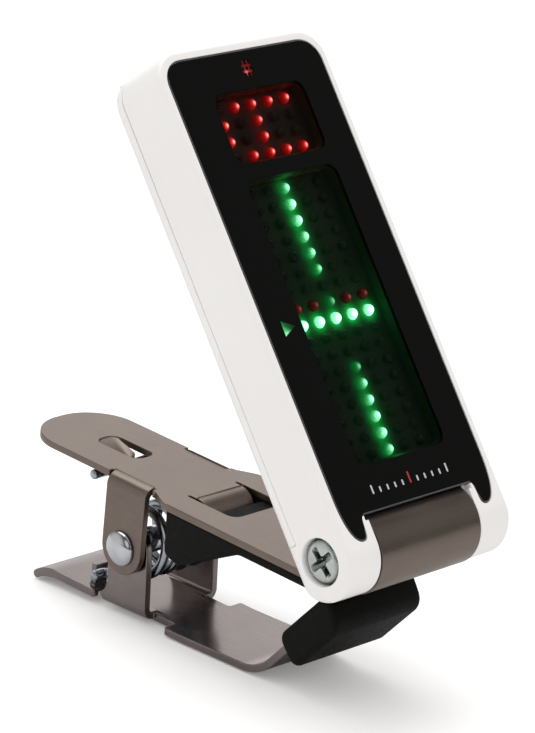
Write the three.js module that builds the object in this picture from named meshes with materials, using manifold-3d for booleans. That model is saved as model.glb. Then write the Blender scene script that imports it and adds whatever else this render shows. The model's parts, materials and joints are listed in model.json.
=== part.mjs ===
// Clip-on instrument tuner: a display head that tilts on the rolled eye of a sprung steel clip.
// Millimetres, +Z up, -Y towards the player. The origin is on the lower jaw's flat underside.

import * as THREE from 'three';
import { mergeVertices } from 'three/addons/utils/BufferGeometryUtils.js';
import Module from 'manifold-3d';

const wasm = await Module();
wasm.setup();

// ---- driving dimensions -------------------------------------------------------------------------

const HEAD_WIDTH = 25;
const HEAD_DEPTH = 8.8;
const HEAD_TOP = 56;                     // hinge axis to the top edge, along the head
const HEAD_CORNER = 3.2;
const HEAD_LEAN = THREE.MathUtils.degToRad(54.7);   // head's long axis above the horizontal
const ARM_INNER = 7.8;                   // inner face of each fork arm, from mid-width
const FORK_FLOOR = 2.85;                 // lower edge of the head between the arms

const HINGE = { y: -24, z: 19.4, barrelRadius: 4.55, barrelBore: 3.7, barrelHalf: 7.35 };
const PIVOT = { y: 12, z: 8.6, pinRadius: 1.5 };

const JAW_SLOPE = THREE.MathUtils.degToRad(3.26);
const UPPER_SHEET = 0.85;
const UPPER_TOP = -4.62;                 // upper jaw's top face, in the hinge's tilted frame
const UPPER_BOTTOM = UPPER_TOP - UPPER_SHEET;
const UPPER_REAR = 54.2;
const WIDE_HALF = 7.6;
const THUMB_HALF = 6.2;
const PAD_THICK = 1.2;

const LOWER_SHEET = 0.9;
const LOWER_WIDE_HALF = 6.1;
const LOWER_EAR_OUTER = 5.75;
const UPPER_EAR_OUTER = 6.85;
const EAR_HALF = 3.15;
const EAR_BEND = 1.6;                    // outer radius where an ear turns out of its sheet
const PIN_PLAY = 0.08;

const WIRE_RADIUS = 0.58;
const COIL_RADIUS = 3.75;                // to the centre of the wire
const COIL_TURNS = 4;
const COIL_HALF = 3.9;

const CASE_BACK = -HEAD_DEPTH / 2;
const CASE_FRONT = HEAD_DEPTH / 2;
const PARTING = CASE_BACK + 2.05;        // seam between front housing and rear cover
const COVER_FACE = CASE_BACK + 1.42;     // inner face of the rear cover
const COVER_BOTTOM = 2.7;                // lower end of the seam
const REAR_ROUND = 1.4;                  // rounding of the case's rear edges
const WALL = 1.3;
const SEAM = 0.06;                       // gap left between two mating covers

const WINDOW_HALF = 11.55;
const WINDOW_TOP = 55;
const WINDOW_BACK = CASE_FRONT - 0.88;
const LED_PITCH_ACROSS = 2.52;
const LED_PITCH_ALONG = 1.89;
const LED_TOP = CASE_FRONT - 1.1;
const STROBE_MID = 24.2;
const STROBE_ROWS = 17;
const NOTE_TOP_ROW = 49.2;
const NOTE_ROWS = 4;
const LED_COLUMNS = 5;

const BOARD_FRONT = 2.6;
const BOARD_BACK = 1.8;
const CELL = { v: 42, radius: 10, thick: 3.2, back: -2.8 };
const DOOR = { bottom: 28.2, half: 10.45, tongue: 10.95, tongueBack: -3.5 };
const BUTTON = { v: 16, radius: 3.4 };
const CASE_SCREW = { u: 9.5, v: 8.5 };
const POST_RADIUS = 1.7;                 // bosses that the case screws bite into

// ---- geometry helpers ---------------------------------------------------------------------------

const ROUND_STEPS = 16;
const BEYOND = 20;                       // far enough across to clear either side of the tuner

function solid(geometry) {
  geometry.deleteAttribute('normal');
  geometry.deleteAttribute('uv');
  const merged = mergeVertices(geometry, 1e-5);
  return new wasm.Manifold(new wasm.Mesh({
    numProp: 3,
    vertProperties: new Float32Array(merged.attributes.position.array),
    triVerts: new Uint32Array(merged.index.array),
  }));
}

// Outline drawn in (X, Y) and raised along Z.
function raised(shape, z0, z1, steps = 8) {
  const geometry = new THREE.ExtrudeGeometry(shape, {
    depth: z1 - z0,
    bevelEnabled: false,
    curveSegments: steps,
  });
  geometry.translate(0, 0, z0);
  return solid(geometry);
}

// Outline drawn in (Y, Z) and swept along X.
function swept(shape, x0, x1, steps = 8) {
  const geometry = new THREE.ExtrudeGeometry(shape, {
    depth: x1 - x0,
    bevelEnabled: false,
    curveSegments: steps,
  });
  geometry.translate(0, 0, x0);
  const axes = new THREE.Matrix4().makeBasis(
    new THREE.Vector3(0, 1, 0),
    new THREE.Vector3(0, 0, 1),
    new THREE.Vector3(1, 0, 0),
  );
  geometry.applyMatrix4(axes);
  return solid(geometry);
}

// Outline given as (X, Z) and drawn out along Y.
function drawn(shape, y0, y1, steps = 8) {
  const geometry = new THREE.ExtrudeGeometry(shape, {
    depth: y1 - y0,
    bevelEnabled: false,
    curveSegments: steps,
  });
  geometry.rotateX(Math.PI / 2);
  geometry.translate(0, y1, 0);
  return solid(geometry);
}

function box(x0, x1, y0, y1, z0, z1) {
  const geometry = new THREE.BoxGeometry(x1 - x0, y1 - y0, z1 - z0);
  geometry.translate((x0 + x1) / 2, (y0 + y1) / 2, (z0 + z1) / 2);
  return solid(geometry);
}

function discAlongX(radius, x0, x1, y = 0, z = 0) {
  return swept(circle(y, z, radius), x0, x1, ROUND_STEPS);
}

function discAlongZ(radius, z0, z1, x = 0, y = 0) {
  return raised(circle(x, y, radius), z0, z1, ROUND_STEPS);
}

function circle(x, y, radius) {
  return new THREE.Shape().absarc(x, y, radius, 0, Math.PI * 2, false);
}

// Closed outline through [x, y, radius] corners; a corner with a radius is rounded off.
function outline(corners) {
  const shape = new THREE.Shape();
  corners.forEach(([x, y, radius = 0], i) => {
    const here = new THREE.Vector2(x, y);
    const before = new THREE.Vector2(...corners.at(i - 1));
    const after = new THREE.Vector2(...corners[(i + 1) % corners.length]);
    const start = before.sub(here).setLength(radius || 1e-9).add(here);
    const end = after.sub(here).setLength(radius || 1e-9).add(here);
    if (i === 0) shape.moveTo(start.x, start.y);
    else shape.lineTo(start.x, start.y);
    if (radius) shape.quadraticCurveTo(x, y, end.x, end.y);
  });
  shape.closePath();
  return shape;
}

function roundedBox(x0, x1, y0, y1, radius) {
  return outline([[x0, y0, radius], [x1, y0, radius], [x1, y1, radius], [x0, y1, radius]]);
}

function hexagon(acrossFlats) {
  const corner = acrossFlats / Math.sqrt(3);
  const corners = [];
  for (let i = 0; i < 6; i += 1) {
    const angle = (i * Math.PI) / 3;
    corners.push([corner * Math.cos(angle), corner * Math.sin(angle)]);
  }
  return outline(corners);
}

// Strip of sheet: a centre line in (Y, Z), thickened to both sides.
function strip(path, thickness, steps) {
  const points = path.getPoints(steps);
  const left = [];
  const right = [];
  points.forEach((point, i) => {
    const ahead = points[Math.min(i + 1, points.length - 1)];
    const behind = points[Math.max(i - 1, 0)];
    const normal = ahead.clone().sub(behind).normalize();
    const side = new THREE.Vector2(-normal.y, normal.x).multiplyScalar(thickness / 2);
    left.push(point.clone().add(side));
    right.push(point.clone().sub(side));
  });
  return new THREE.Shape([...left, ...right.reverse()]);
}

function part(name, body, colour, roughness, metalness = 0) {
  const { numProp, vertProperties, triVerts } = body.getMesh();
  const geometry = new THREE.BufferGeometry();
  const positions = new THREE.InterleavedBuffer(vertProperties, numProp);
  geometry.setAttribute('position', new THREE.InterleavedBufferAttribute(positions, 3, 0));
  geometry.setIndex(new THREE.BufferAttribute(triVerts, 1));
  const flat = geometry.toNonIndexed();
  flat.computeVertexNormals();
  const mesh = new THREE.Mesh(flat, new THREE.MeshStandardMaterial({
    color: colour,
    roughness,
    metalness,
  }));
  mesh.name = name;
  return mesh;
}

const WHITE = 0xece9e6;
const STEEL = 0x84776b;
const RUBBER = 0x17171a;
const CHROME = 0xc9ccd2;
const ZINC = 0xb4bab6;
const BOARD_GREEN = 0x1c4a32;

// ---- head: case ---------------------------------------------------------------------------------
// Head frame: X across, Y up along the head from the hinge axis, Z out of the display.

function headEnvelope() {
  const front = outline([
    [-HEAD_WIDTH / 2, -HEAD_DEPTH],
    [HEAD_WIDTH / 2, -HEAD_DEPTH],
    [HEAD_WIDTH / 2, HEAD_TOP, HEAD_CORNER],
    [-HEAD_WIDTH / 2, HEAD_TOP, HEAD_CORNER],
  ]);
  const side = new THREE.Shape()
    .moveTo(HEAD_TOP, CASE_BACK + REAR_ROUND)
    .lineTo(HEAD_TOP, CASE_FRONT)
    .lineTo(0, CASE_FRONT)
    .absarc(0, 0, CASE_FRONT, Math.PI / 2, (3 * Math.PI) / 2, false)
    .lineTo(HEAD_TOP - REAR_ROUND, CASE_BACK)
    .absarc(HEAD_TOP - REAR_ROUND, CASE_BACK + REAR_ROUND, REAR_ROUND, -Math.PI / 2, 0, false);
  const half = HEAD_WIDTH / 2;
  const section = outline([
    [-half, CASE_BACK, REAR_ROUND],
    [half, CASE_BACK, REAR_ROUND],
    [half, CASE_FRONT],
    [-half, CASE_FRONT],
  ]);
  return raised(front, CASE_BACK, CASE_FRONT)
    .intersect(swept(side, -half, half, 12))
    .intersect(drawn(section, -HEAD_DEPTH, HEAD_TOP, 5));
}

// Room between the fork arms for the clip's barrel to turn in.
function forkGap() {
  const barrelClearance = 0.3;
  const slot = box(-ARM_INNER, ARM_INNER, -HEAD_DEPTH, FORK_FLOOR, -HEAD_DEPTH, HEAD_DEPTH);
  return slot.add(discAlongX(HINGE.barrelRadius + barrelClearance, -ARM_INNER, ARM_INNER));
}

// Window outline: square cut above the barrel, with a curved horn down each arm.
function windowOutline(grow = 0) {
  const half = WINDOW_HALF + grow;
  const floor = FORK_FLOOR + 0.1 - grow;
  const hornTip = 0.35 - grow;
  const shape = new THREE.Shape();
  shape.moveTo(-8.3 - grow, floor);
  shape.lineTo(8.3 + grow, floor);
  shape.quadraticCurveTo(8.75 - grow, floor - 0.2, 8.85 - grow, hornTip + 0.6);
  shape.quadraticCurveTo(9.0, hornTip, 9.6, hornTip);
  shape.bezierCurveTo(10.7, hornTip, half, 1.9, half, 5.6);
  shape.lineTo(half, WINDOW_TOP - 2.4);
  shape.quadraticCurveTo(half, WINDOW_TOP + grow, half - 2.6, WINDOW_TOP + grow);
  shape.lineTo(2.6 - half, WINDOW_TOP + grow);
  shape.quadraticCurveTo(-half, WINDOW_TOP + grow, -half, WINDOW_TOP - 2.4);
  shape.lineTo(-half, 5.6);
  shape.bezierCurveTo(-half, 1.9, -10.7, hornTip, -9.6, hornTip);
  shape.quadraticCurveTo(-9.0, hornTip, -8.85 + grow, hornTip + 0.6);
  shape.quadraticCurveTo(-8.75 + grow, floor - 0.2, -8.3 - grow, floor);
  return shape;
}

const CAVITY = { half: 11.1, bottom: 6.4, top: HEAD_TOP - WALL };
const THROAT_HALF = 10.9;                // opening that the lamp plate shows through
const SCREW_BORE = 1.7;
const SCREW_HEAD = { radius: 2.5, face: -12.3, seat: -10.75 };
const SCREW_SHANK = 1.5;
const NUT = { acrossFlats: 5.5, start: 9.9, end: 12.2 };
const CASE_SCREW_HEAD = { radius: 1.6, face: -4.2, seat: -3.65 };
const CASE_SCREW_SHANK = { radius: 0.68, end: 1.2 };

function frontHousing() {
  const cavity = box(-CAVITY.half, CAVITY.half, CAVITY.bottom, CAVITY.top, CASE_BACK - 1, WINDOW_BACK - 0.1);
  const throat = box(-THROAT_HALF, THROAT_HALF, CAVITY.bottom + 0.3, WINDOW_TOP - 0.8, 0, CASE_FRONT + 1);
  const rebate = raised(windowOutline(0.06), WINDOW_BACK - 0.04, CASE_FRONT + 1);
  const behindParting = box(-BEYOND, BEYOND, COVER_BOTTOM, HEAD_TOP + 1, CASE_BACK - 1, PARTING);
  const screwWell = discAlongX(SCREW_HEAD.radius + 0.12, -BEYOND, SCREW_HEAD.seat + 0.05);
  const nutWell = swept(hexagon(NUT.acrossFlats + 0.2), NUT.start - 0.05, BEYOND);
  let housing = headEnvelope()
    .subtract(forkGap())
    .subtract(cavity)
    .subtract(throat)
    .subtract(rebate)
    .subtract(behindParting)
    .subtract(discAlongX(SCREW_BORE, -BEYOND, BEYOND))
    .subtract(screwWell)
    .subtract(nutWell);
  for (const side of [-1, 1]) {
    const postTop = WINDOW_BACK - 0.1;
    const post = discAlongZ(POST_RADIUS, COVER_FACE + SEAM, postTop, side * CASE_SCREW.u, CASE_SCREW.v);
    const pilot = discAlongZ(
      CASE_SCREW_SHANK.radius + 0.07,
      COVER_FACE - 1,
      CASE_SCREW_SHANK.end + 0.4,
      side * CASE_SCREW.u,
      CASE_SCREW.v,
    );
    housing = housing.add(post).subtract(pilot);
  }
  return housing;
}

function rearCover() {
  const bottom = COVER_BOTTOM + SEAM;
  const shell = headEnvelope().subtract(forkGap());
  const slab = shell.intersect(box(-BEYOND, BEYOND, bottom, HEAD_TOP + 1, CASE_BACK - 1, COVER_FACE - SEAM));
  const lipInner = CAVITY.half - 0.68;
  const lipOuter = CAVITY.half - 0.12;
  const lipStart = CASE_SCREW.v + 2.3;
  const lipTop = CAVITY.top - 0.9;
  const behind = CASE_BACK - 1.6;
  const inside = box(-lipInner, lipInner, lipStart, lipTop, behind, 0);
  const roundPosts = box(-CAVITY.half - 0.15, CAVITY.half + 0.15, CAVITY.bottom, lipStart + 0.1, behind, 0);
  const rim = shell
    .intersect(box(-BEYOND, BEYOND, bottom, HEAD_TOP + 1, COVER_FACE - SEAM - 0.01, PARTING - SEAM))
    .subtract(inside)
    .subtract(roundPosts);
  const lip = box(-lipOuter, lipOuter, lipStart + 0.1, CAVITY.top - 0.1, COVER_FACE - 0.1, PARTING + 0.65)
    .subtract(inside);
  const reach = 60;
  const doorHalf = DOOR.half + SEAM;
  const doorOpening = box(-doorHalf, doorHalf, DOOR.bottom - SEAM, reach, behind, COVER_FACE - 0.02);
  const doorGroove = box(
    -DOOR.tongue - SEAM,
    DOOR.tongue + SEAM,
    DOOR.bottom - SEAM,
    reach,
    DOOR.tongueBack - SEAM,
    COVER_FACE + 0.04,
  );
  let cover = slab
    .add(rim)
    .add(lip)
    .subtract(doorOpening)
    .subtract(doorGroove)
    .subtract(discAlongZ(BUTTON.radius + 0.15, behind, 0, 0, BUTTON.v));
  for (const side of [-1, 1]) {
    const u = side * CASE_SCREW.u;
    const hole = discAlongZ(CASE_SCREW_SHANK.radius + 0.27, behind, 0, u, CASE_SCREW.v);
    const wellRadius = CASE_SCREW_HEAD.radius + 0.15;
    const well = discAlongZ(wellRadius, behind, CASE_SCREW_HEAD.seat + 0.05, u, CASE_SCREW.v);
    cover = cover.subtract(hole).subtract(well);
  }
  return cover;
}

const GRIP = { count: 5, half: 4.5, start: 3, pitch: 1.3, width: 0.6, depth: 0.35 };  // thumb grooves

function batteryDoor() {
  const inner = COVER_FACE - 0.04;
  const face = box(-DOOR.half, DOOR.half, DOOR.bottom, HEAD_TOP + 1, CASE_BACK, inner);
  const tongue = box(-DOOR.tongue, DOOR.tongue, DOOR.bottom, HEAD_TOP + 1, DOOR.tongueBack, inner);
  let door = face.add(tongue).intersect(headEnvelope());
  for (let i = 0; i < GRIP.count; i += 1) {
    const v = DOOR.bottom + GRIP.start + i * GRIP.pitch;
    const groove = box(-GRIP.half, GRIP.half, v, v + GRIP.width, CASE_BACK - 1, CASE_BACK + GRIP.depth);
    door = door.subtract(groove);
  }
  return door;
}

function powerButton() {
  const proud = 0.2;
  const flangeBack = COVER_FACE + SEAM;
  const flangeFront = -2.4;
  const stemEnd = -1.8;
  const cap = discAlongZ(BUTTON.radius, CASE_BACK - proud, flangeFront - 0.2, 0, BUTTON.v);
  const flange = discAlongZ(BUTTON.radius + 0.8, flangeBack, flangeFront, 0, BUTTON.v);
  const stem = discAlongZ(1.3, flangeFront - 0.1, stemEnd, 0, BUTTON.v);
  return cap.add(flange).add(stem);
}

function caseScrew(side) {
  const u = side * CASE_SCREW.u;
  const { radius, face, seat } = CASE_SCREW_HEAD;
  const head = discAlongZ(radius, face, seat, u, CASE_SCREW.v);
  const shank = discAlongZ(CASE_SCREW_SHANK.radius, seat - 0.1, CASE_SCREW_SHANK.end, u, CASE_SCREW.v);
  const slot = crossRecess(1.1, 0.35).translate([u, CASE_SCREW.v, face]);
  return head.add(shank).subtract(slot);
}

// Cross-shaped driver recess in the XY plane, centred on the origin.
function crossRecess(reach, halfWidth) {
  const depth = 0.4;
  return box(-reach, reach, -halfWidth, halfWidth, -1, depth)
    .add(box(-halfWidth, halfWidth, -reach, reach, -1, depth));
}

// ---- head: hinge hardware -----------------------------------------------------------------------

function hingeScrew() {
  const head = discAlongX(SCREW_HEAD.radius, SCREW_HEAD.face, SCREW_HEAD.seat);
  const shank = discAlongX(SCREW_SHANK, SCREW_HEAD.seat - 0.1, NUT.end - 0.2);
  const recess = crossRecess(1.6, 0.4).rotate([0, 90, 0]).translate([SCREW_HEAD.face + 0.3, 0, 0]);
  return head.add(shank).subtract(recess);
}

function hingeNut() {
  return swept(hexagon(NUT.acrossFlats), NUT.start, NUT.end)
    .subtract(discAlongX(SCREW_SHANK + 0.06, -BEYOND, BEYOND));
}

// Flanged friction bush, pressed into one end of the barrel.
function hingeBush(side) {
  const flangeFace = ARM_INNER - 0.05;
  const flangeSeat = HINGE.barrelHalf + 0.05;
  const ends = [side * flangeSeat, side * flangeFace].sort((a, b) => a - b);
  const sleeveReach = 3.2;
  const sleeveEnds = [side * sleeveReach, side * (flangeSeat + 0.1)].sort((a, b) => a - b);
  const flange = discAlongX(HINGE.barrelRadius - 0.6, ends[0], ends[1]);
  const sleeve = discAlongX(HINGE.barrelBore - 0.06, sleeveEnds[0], sleeveEnds[1]);
  return flange.add(sleeve).subtract(discAlongX(SCREW_SHANK + 0.06, -BEYOND, BEYOND));
}

// ---- head: display and electronics --------------------------------------------------------------

function displayWindow() {
  const clearance = discAlongX(HINGE.barrelRadius + 0.2, -ARM_INNER, ARM_INNER);
  return raised(windowOutline(), WINDOW_BACK, CASE_FRONT, 10).subtract(clearance);
}

const WELL = { left: -6.3, right: 7.2 };                // light wells either side of mid-width
const STROBE_BOX = { bottom: 7.9, top: 40.6 };
const NOTE_BOX = { bottom: 42.4, top: 50.5 };
const SHARP = { u: 0.9, v: 52.8 };
const MARKER = { base: -9.15, tip: -7.35, half: 0.86 };
const LAMP_HALF = 0.5;
const BAFFLE = { half: 10.7, bottom: 6.9, top: 54 };

function wellOutline(well, inset) {
  return roundedBox(WELL.left + inset, WELL.right - inset, well.bottom + inset, well.top - inset, 1.3);
}

function lightBaffle() {
  const plateBack = BOARD_FRONT + 0.05;
  const plateFront = WINDOW_BACK - 0.15;
  const sharpHole = LAMP_HALF + 0.3;
  let baffle = box(-BAFFLE.half, BAFFLE.half, BAFFLE.bottom, BAFFLE.top, plateBack, plateFront)
    .subtract(raised(wellOutline(STROBE_BOX, 0), 0, CASE_FRONT))
    .subtract(raised(wellOutline(NOTE_BOX, 0), 0, CASE_FRONT))
    .subtract(discAlongZ(sharpHole, 0, CASE_FRONT, SHARP.u, SHARP.v))
    .subtract(raised(markerOutline(0.1), 0, CASE_FRONT));
  for (const side of [-1, 1]) {
    const corner = discAlongZ(POST_RADIUS + 0.4, 0, CASE_FRONT, side * CASE_SCREW.u, CASE_SCREW.v);
    const besidePost = sideBox(side, CASE_SCREW.u - 0.5, HEAD_WIDTH, BAFFLE.bottom - 1, CASE_SCREW.v + 2);
    baffle = baffle.subtract(corner).subtract(besidePost);
  }
  return baffle;
}

// Box through the head on one side of mid-width, from near to far, between two heights.
function sideBox(side, near, far, bottom, top) {
  return box(
    Math.min(side * near, side * far),
    Math.max(side * near, side * far),
    bottom,
    top,
    CASE_BACK,
    CASE_FRONT,
  );
}

// Small triangle to the left of the middle row, pointing at it.
function markerOutline(grow = 0) {
  const half = MARKER.half + grow;
  return outline([
    [MARKER.tip + grow, STROBE_MID],
    [MARKER.base - grow, STROBE_MID + half],
    [MARKER.base - grow, STROBE_MID - half],
  ]);
}

function markerLight() {
  return raised(markerOutline(), BOARD_FRONT + 0.05, WINDOW_BACK - 0.2);
}

// One packaged lamp per cell, standing on a shared white carrier.
function ledMatrix(rows, topRow, well) {
  const carrierTop = BOARD_FRONT + 0.3;
  let matrix = raised(wellOutline(well, 0.15), BOARD_FRONT + 0.05, carrierTop, 4);
  for (let row = 0; row < rows; row += 1) {
    for (let column = 0; column < LED_COLUMNS; column += 1) {
      const u = (column - (LED_COLUMNS - 1) / 2) * LED_PITCH_ACROSS;
      const v = topRow - row * LED_PITCH_ALONG;
      matrix = matrix.add(lamp(u, v, carrierTop - 0.1));
    }
  }
  return matrix;
}

function lamp(u, v, base) {
  return box(u - LAMP_HALF, u + LAMP_HALF, v - LAMP_HALF, v + LAMP_HALF, base, LED_TOP);
}

function noteLeds() {
  return ledMatrix(NOTE_ROWS, NOTE_TOP_ROW, NOTE_BOX);
}

function strobeLeds() {
  const topRow = STROBE_MID + ((STROBE_ROWS - 1) / 2) * LED_PITCH_ALONG;
  return ledMatrix(STROBE_ROWS, topRow, STROBE_BOX);
}

function sharpLed() {
  return lamp(SHARP.u, SHARP.v, BOARD_FRONT + 0.05);
}

function mainBoard() {
  let board = raised(roundedBox(-10.5, 10.5, 7, 54, 1), BOARD_BACK, BOARD_FRONT);
  for (const side of [-1, 1]) {
    board = board.subtract(sideBox(side, CASE_SCREW.u - 2.3, HEAD_WIDTH, 6, CASE_SCREW.v + 2.5));
  }
  return board;
}

function chip(u, v, halfU, halfV, height) {
  return box(u - halfU, u + halfU, v - halfV, v + halfV, BOARD_BACK - 0.05 - height, BOARD_BACK - 0.05);
}

function powerSwitch() {
  return chip(0, BUTTON.v, 2.25, 2.25, 1.5)
    .add(discAlongZ(1.2, -1.25, 0.4, 0, BUTTON.v));
}

function coinCell() {
  const can = discAlongZ(CELL.radius, CELL.back, CELL.back + 2.7, 0, CELL.v);
  const cap = discAlongZ(CELL.radius - 1.2, CELL.back + 2.6, CELL.back + CELL.thick, 0, CELL.v);
  return can.add(cap);
}

// Arched leaf soldered to the board, bearing on the cell's cap.
function negativeContact() {
  const arch = new THREE.SplineCurve([
    new THREE.Vector2(CELL.v - 5, 1.55),
    new THREE.Vector2(CELL.v - 3, 1.45),
    new THREE.Vector2(CELL.v, 0.68),
    new THREE.Vector2(CELL.v + 3, 1.2),
  ]);
  return swept(strip(arch, 0.2, 14), -1.6, 1.6);
}

// Side tab that touches the rim of the cell's can.
function positiveContact() {
  const foot = box(8.9, 10.35, CELL.v - 2.5, CELL.v + 2.5, 1.5, 1.75);
  const tab = box(10.08, 10.35, CELL.v - 2.5, CELL.v + 2.5, -2, 1.7);
  return foot.add(tab);
}

function piezoSensor() {
  return discAlongZ(3.3, -2.9, -2.65, 0, 24)
    .add(discAlongZ(2.5, -2.7, -2.35, 0, 24));
}

// ---- upper jaw ----------------------------------------------------------------------------------
// Jaw frame: X across, Y back from the hinge axis along the sheet, Z away from the grip.

const JAW_PIVOT = {
  y: (PIVOT.y - HINGE.y) * Math.cos(JAW_SLOPE) + (PIVOT.z - HINGE.z) * Math.sin(JAW_SLOPE),
  z: (PIVOT.z - HINGE.z) * Math.cos(JAW_SLOPE) - (PIVOT.y - HINGE.y) * Math.sin(JAW_SLOPE),
};
const WINDOW_CUT = { half: 3.9, front: 21, rear: 27.3 };
const SLOT = { half: 1.5, front: 39.3, rear: 46.2 };

function upperPlan() {
  const neck = JAW_PIVOT.y - EAR_HALF - 0.9;
  return outline([
    [-WIDE_HALF, -0.7, 0.4],
    [WIDE_HALF, -0.7, 0.4],
    [WIDE_HALF, neck - 2.6, 1],
    [THUMB_HALF, neck],
    [THUMB_HALF, UPPER_REAR - 3.6, 2],
    [3, UPPER_REAR, 2],
    [-3, UPPER_REAR, 2],
    [-THUMB_HALF, UPPER_REAR - 3.6, 2],
    [-THUMB_HALF, neck],
    [-WIDE_HALF, neck - 2.6, 1],
  ]);
}

// Ear hanging from the sheet's edge, with a rolled bend and a round end about the pivot.
function upperEar(side) {
  const bend = EAR_BEND;
  const inner = UPPER_EAR_OUTER - UPPER_SHEET;
  const ends = [side * inner, side * UPPER_EAR_OUTER].sort((a, b) => a - b);
  const front = JAW_PIVOT.y - EAR_HALF;
  const rear = JAW_PIVOT.y + EAR_HALF;
  const leaf = new THREE.Shape()
    .moveTo(rear, UPPER_TOP - bend)
    .lineTo(front, UPPER_TOP - bend)
    .lineTo(front, JAW_PIVOT.z)
    .absarc(JAW_PIVOT.y, JAW_PIVOT.z, EAR_HALF, Math.PI, Math.PI * 2, false)
    .closePath();
  const centreX = side * (UPPER_EAR_OUTER - bend);
  const centreZ = UPPER_TOP - bend;
  const left = Math.min(centreX, side * BEYOND);
  const right = Math.max(centreX, side * BEYOND);
  const elbow = ring(centreX, centreZ, bend - UPPER_SHEET, bend, front, rear)
    .intersect(box(left, right, front - 1, rear + 1, centreZ, 0));
  return swept(leaf, ends[0], ends[1], 8).add(elbow);
}

// Tube whose axis runs along Y.
function ring(x, z, innerRadius, outerRadius, y0, y1) {
  const section = circle(x, z, outerRadius);
  section.holes.push(new THREE.Path().absarc(x, z, innerRadius, 0, Math.PI * 2, true));
  return drawn(section, y0, y1, 12);
}

// Scooped tongue that drops from the rear of the slot, for the spring's bar.
function slotTongue() {
  const path = new THREE.LineCurve(
    new THREE.Vector2(SLOT.rear + 0.4, UPPER_TOP - UPPER_SHEET / 2),
    new THREE.Vector2(SLOT.rear - 3.4, UPPER_TOP - UPPER_SHEET / 2 - 0.7),
  );
  return swept(strip(path, UPPER_SHEET - 0.15, 1), -SLOT.half - 0.2, SLOT.half + 0.2);
}

// Tab rolled down from the rear of the window into the rubber, to anchor it.
function windowTab() {
  const radius = 2.4;
  const middle = radius - UPPER_SHEET / 2;
  const roll = new THREE.EllipseCurve(
    WINDOW_CUT.rear + 0.2,
    UPPER_TOP - radius,
    middle,
    middle,
    Math.PI / 2,
    Math.PI * 0.97,
    false,
  );
  return swept(strip(roll, UPPER_SHEET, 10), 0.4 - WINDOW_CUT.half, WINDOW_CUT.half - 0.4);
}

function upperJaw() {
  const windowCut = roundedBox(-WINDOW_CUT.half, WINDOW_CUT.half, WINDOW_CUT.front, WINDOW_CUT.rear, 1.1);
  const slotCut = roundedBox(-SLOT.half, SLOT.half, SLOT.front, SLOT.rear, 0.9);
  const barrel = discAlongX(HINGE.barrelRadius, -HINGE.barrelHalf, HINGE.barrelHalf);
  const barrelBore = discAlongX(HINGE.barrelBore, -BEYOND, BEYOND);
  const lift = box(-HINGE.barrelHalf, HINGE.barrelHalf, -0.6, 2, UPPER_TOP - 0.2, -3.9);
  const earNotch = (side) => box(
    Math.min(side * (UPPER_EAR_OUTER - EAR_BEND), side * 9),
    Math.max(side * (UPPER_EAR_OUTER - EAR_BEND), side * 9),
    JAW_PIVOT.y - EAR_HALF - 0.7,
    JAW_PIVOT.y + EAR_HALF + 0.7,
    UPPER_BOTTOM - 1,
    0,
  );
  return raised(upperPlan(), UPPER_BOTTOM, UPPER_TOP)
    .subtract(raised(windowCut, -8, 0))
    .subtract(raised(slotCut, -8, 0))
    .subtract(earNotch(-1))
    .subtract(earNotch(1))
    .add(upperEar(-1))
    .add(upperEar(1))
    .add(slotTongue())
    .add(windowTab())
    .add(barrel)
    .add(lift)
    .subtract(barrelBore)
    .subtract(discAlongX(PIVOT.pinRadius + PIN_PLAY, -BEYOND, BEYOND, JAW_PIVOT.y, JAW_PIVOT.z));
}

// Rubber liner under the sheet, thickened into a wedge that stops the instrument's edge.
function upperPad() {
  const top = UPPER_BOTTOM - 0.05;
  const face = UPPER_BOTTOM - PAD_THICK;
  const profile = outline([
    [1.4, top],
    [1.4, face, 0.7],
    [16.8, face, 2],
    [25.8, -11.4, 1.2],
    [28.1, -10.7, 0.8],
    [28.3, top],
  ]);
  const half = WIDE_HALF - 0.25;
  const cut = WINDOW_CUT;
  const tabPocket = box(-cut.half, cut.half, cut.rear - 3, cut.rear + 0.6, -7.6, 0);
  return swept(profile, -half, half).subtract(tabPocket);
}

// ---- lower jaw ----------------------------------------------------------------------------------
// Object frame, drawn in (Y, Z).

const BOOT_ANGLE = THREE.MathUtils.degToRad(46);
const BEND = { y: HINGE.y + 16.9, radius: 6.5 };
const TONGUE_LENGTH = 11.6;
const BOOT_START = 3.82;
const BOOT_END = 13.32;
const TONGUE_HALF = 5.6;                 // inside the boot
const EAR_FRONT = PIVOT.y - EAR_HALF;
const EAR_REAR = PIVOT.y + EAR_HALF;
const THUMB_RISE = THREE.MathUtils.degToRad(2.5);
const FLAT_REAR = HINGE.y + 27;
const LOWER_THUMB_HALF = LOWER_EAR_OUTER;

function tonguePoint(along, outwards) {
  const elbowY = BEND.y - Math.sin(BOOT_ANGLE) * BEND.radius;
  const elbowZ = BEND.radius - Math.cos(BOOT_ANGLE) * BEND.radius;
  return new THREE.Vector2(
    elbowY - Math.cos(BOOT_ANGLE) * along + Math.sin(BOOT_ANGLE) * outwards,
    elbowZ + Math.sin(BOOT_ANGLE) * along + Math.cos(BOOT_ANGLE) * outwards,
  );
}

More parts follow.
